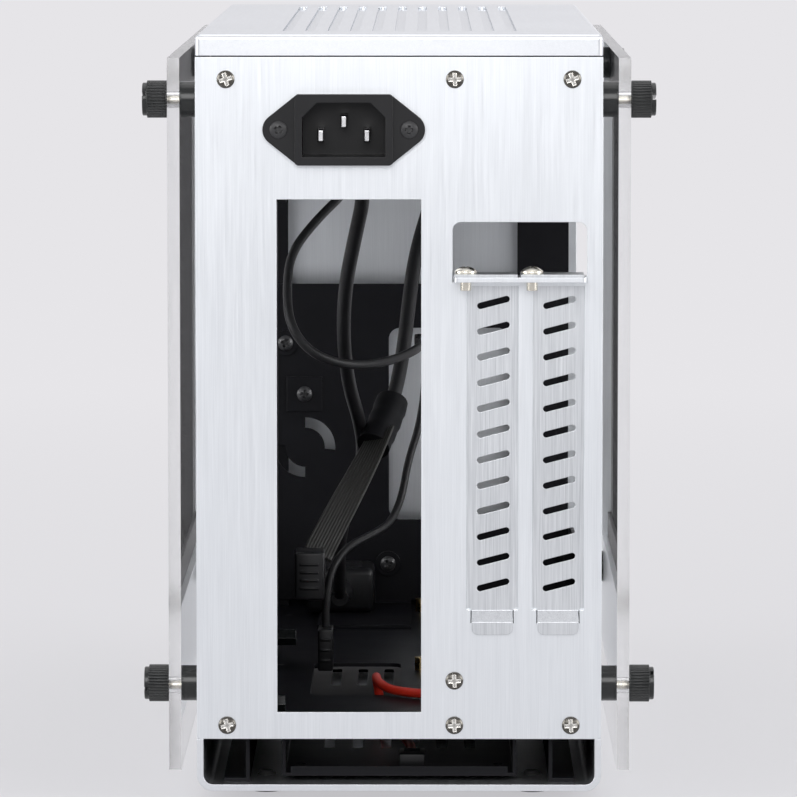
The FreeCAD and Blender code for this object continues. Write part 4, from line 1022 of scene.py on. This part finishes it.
# stage: pale floor that glows a little into the depth, even room light, and large soft lamps
stageLook = {
    "floorTone": (0.60, 0.60, 0.62, 1), "floorRough": 0.7, "floorReach": 60.0,
    "backTone": (0.80, 0.79, 0.815, 1), "roomTone": (0.80, 0.81, 0.83, 1), "roomStrength": 0.68,
    "nearGlow": 0.5, "farGlow": 0.98, "glowFrom": -0.4, "glowTo": 1.2,
}
lamps = {
    "keyLamp": {"place": (-1.3, -1.9, 1.5), "aim": (0, 0, 0.12), "size": 1.0, "power": 6},
    "fillLamp": {"place": (1.6, -1.7, 1.1), "aim": (0, 0, 0.12), "size": 1.0, "power": 4},
    "frontLamp": {"place": (-0.05, -1.22, 0.64), "aim": (0, -0.15, 0.18), "size": 0.6, "power": 4.3},
    "topLamp": {"place": (0.1, 0.2, 1.9), "aim": (0, 0, 0.2), "size": 1.4, "power": 5},
    "farLamp": {"place": (0.9, 2.0, 1.2), "aim": (0, 0, 0.12), "size": 1.4, "power": 2},
    "leftLamp": {"place": (-1.7, -0.5, 0.6), "aim": (0, 0.12, 0.14), "size": 1.0, "power": 14},
    "rightLamp": {"place": (1.7, -0.5, 0.6), "aim": (0, 0.12, 0.14), "size": 1.0, "power": 15},
}


def shownRay(start):
    # one where the stage is seen, straight, in a reflection or through the clear sheets
    bent = start.maths("MAXIMUM", lightRay(start, "Is Glossy Ray"), lightRay(start, "Is Transmission Ray"))
    return start.maths("MAXIMUM", lightRay(start, "Is Camera Ray"), bent)


def makeFloor(look):
    reach = look["floorReach"]
    floorMesh = bpy.data.meshes.new("floor")
    corners = [(-reach, -reach, 0), (reach, -reach, 0), (reach, reach, 0), (-reach, reach, 0)]
    floorMesh.from_pydata(corners, [], [(0, 1, 2, 3)])
    floor = placed("floor", floorMesh)
    material, start = newMaterial("paleFloor")
    paint = start.node("ShaderNodeBsdfPrincipled", None,
                       {"Base Color": look["floorTone"], "Roughness": look["floorRough"]})
    glow = start.node("ShaderNodeEmission", None, {"Color": look["backTone"], "Strength": 1.0})
    depth = start.node("ShaderNodeSeparateXYZ", None, {0: objectPlace(start)}, "Y")
    share = start.node("ShaderNodeMapRange", None, {
        "Value": depth, "From Min": look["glowFrom"], "From Max": look["glowTo"],
        "To Min": look["nearGlow"], "To Max": look["farGlow"],
    })
    lit = start.node("ShaderNodeMixShader", None, {0: shownRay(start) * share, 1: paint, 2: glow})
    showSurface(start, lit)
    floorMesh.materials.append(material)


def makeRoom(look):
    world = bpy.data.worlds.new("room")
    world.use_nodes = True
    world.node_tree.nodes.clear()
    start = Wire(world.node_tree)
    room = start.node("ShaderNodeBackground", None,
                      {"Color": look["roomTone"], "Strength": look["roomStrength"]})
    back = start.node("ShaderNodeBackground", None, {"Color": look["backTone"], "Strength": 1.0})
    both = start.node("ShaderNodeMixShader", None, {0: shownRay(start), 1: room, 2: back})
    start.node("ShaderNodeOutputWorld", None, {"Surface": both})
    bpy.context.scene.world = world


def aimed(place, aim):
    turn = (Vector(aim) - Vector(place)).to_track_quat("-Z", "Y")
    return Matrix.Translation(place) @ turn.to_matrix().to_4x4()


def makeLamp(name, settings):
    lampData = bpy.data.lights.new(name, "AREA")
    lampData.size = settings["size"]
    lampData.energy = settings["power"]
    lamp = placed(name, lampData)
    lamp.matrix_world = aimed(settings["place"], settings["aim"])


# the photograph's camera
photoCamera = {
    "place": (0.0083, -2.00075, 0.2976), "aim": (-0.00015, -0.15775, 0.12505),
    "lens": 271.8, "sensor": 36.0, "farClip": 50,
}


def makeCamera(settings):
    cameraData = bpy.data.cameras.new("photoCamera")
    cameraData.lens = settings["lens"]
    cameraData.sensor_width = settings["sensor"]
    cameraData.clip_end = settings["farClip"]
    camera = placed("photoCamera", cameraData)
    camera.matrix_world = aimed(settings["place"], settings["aim"])
    bpy.context.scene.camera = camera


makeFloor(stageLook)
makeRoom(stageLook)
for lampName, lampSettings in lamps.items():
    makeLamp(lampName, lampSettings)
makeCamera(photoCamera)
bpy.context.scene.view_settings.view_transform = "Standard"
print("stage set:", len(lamps), "lamps")
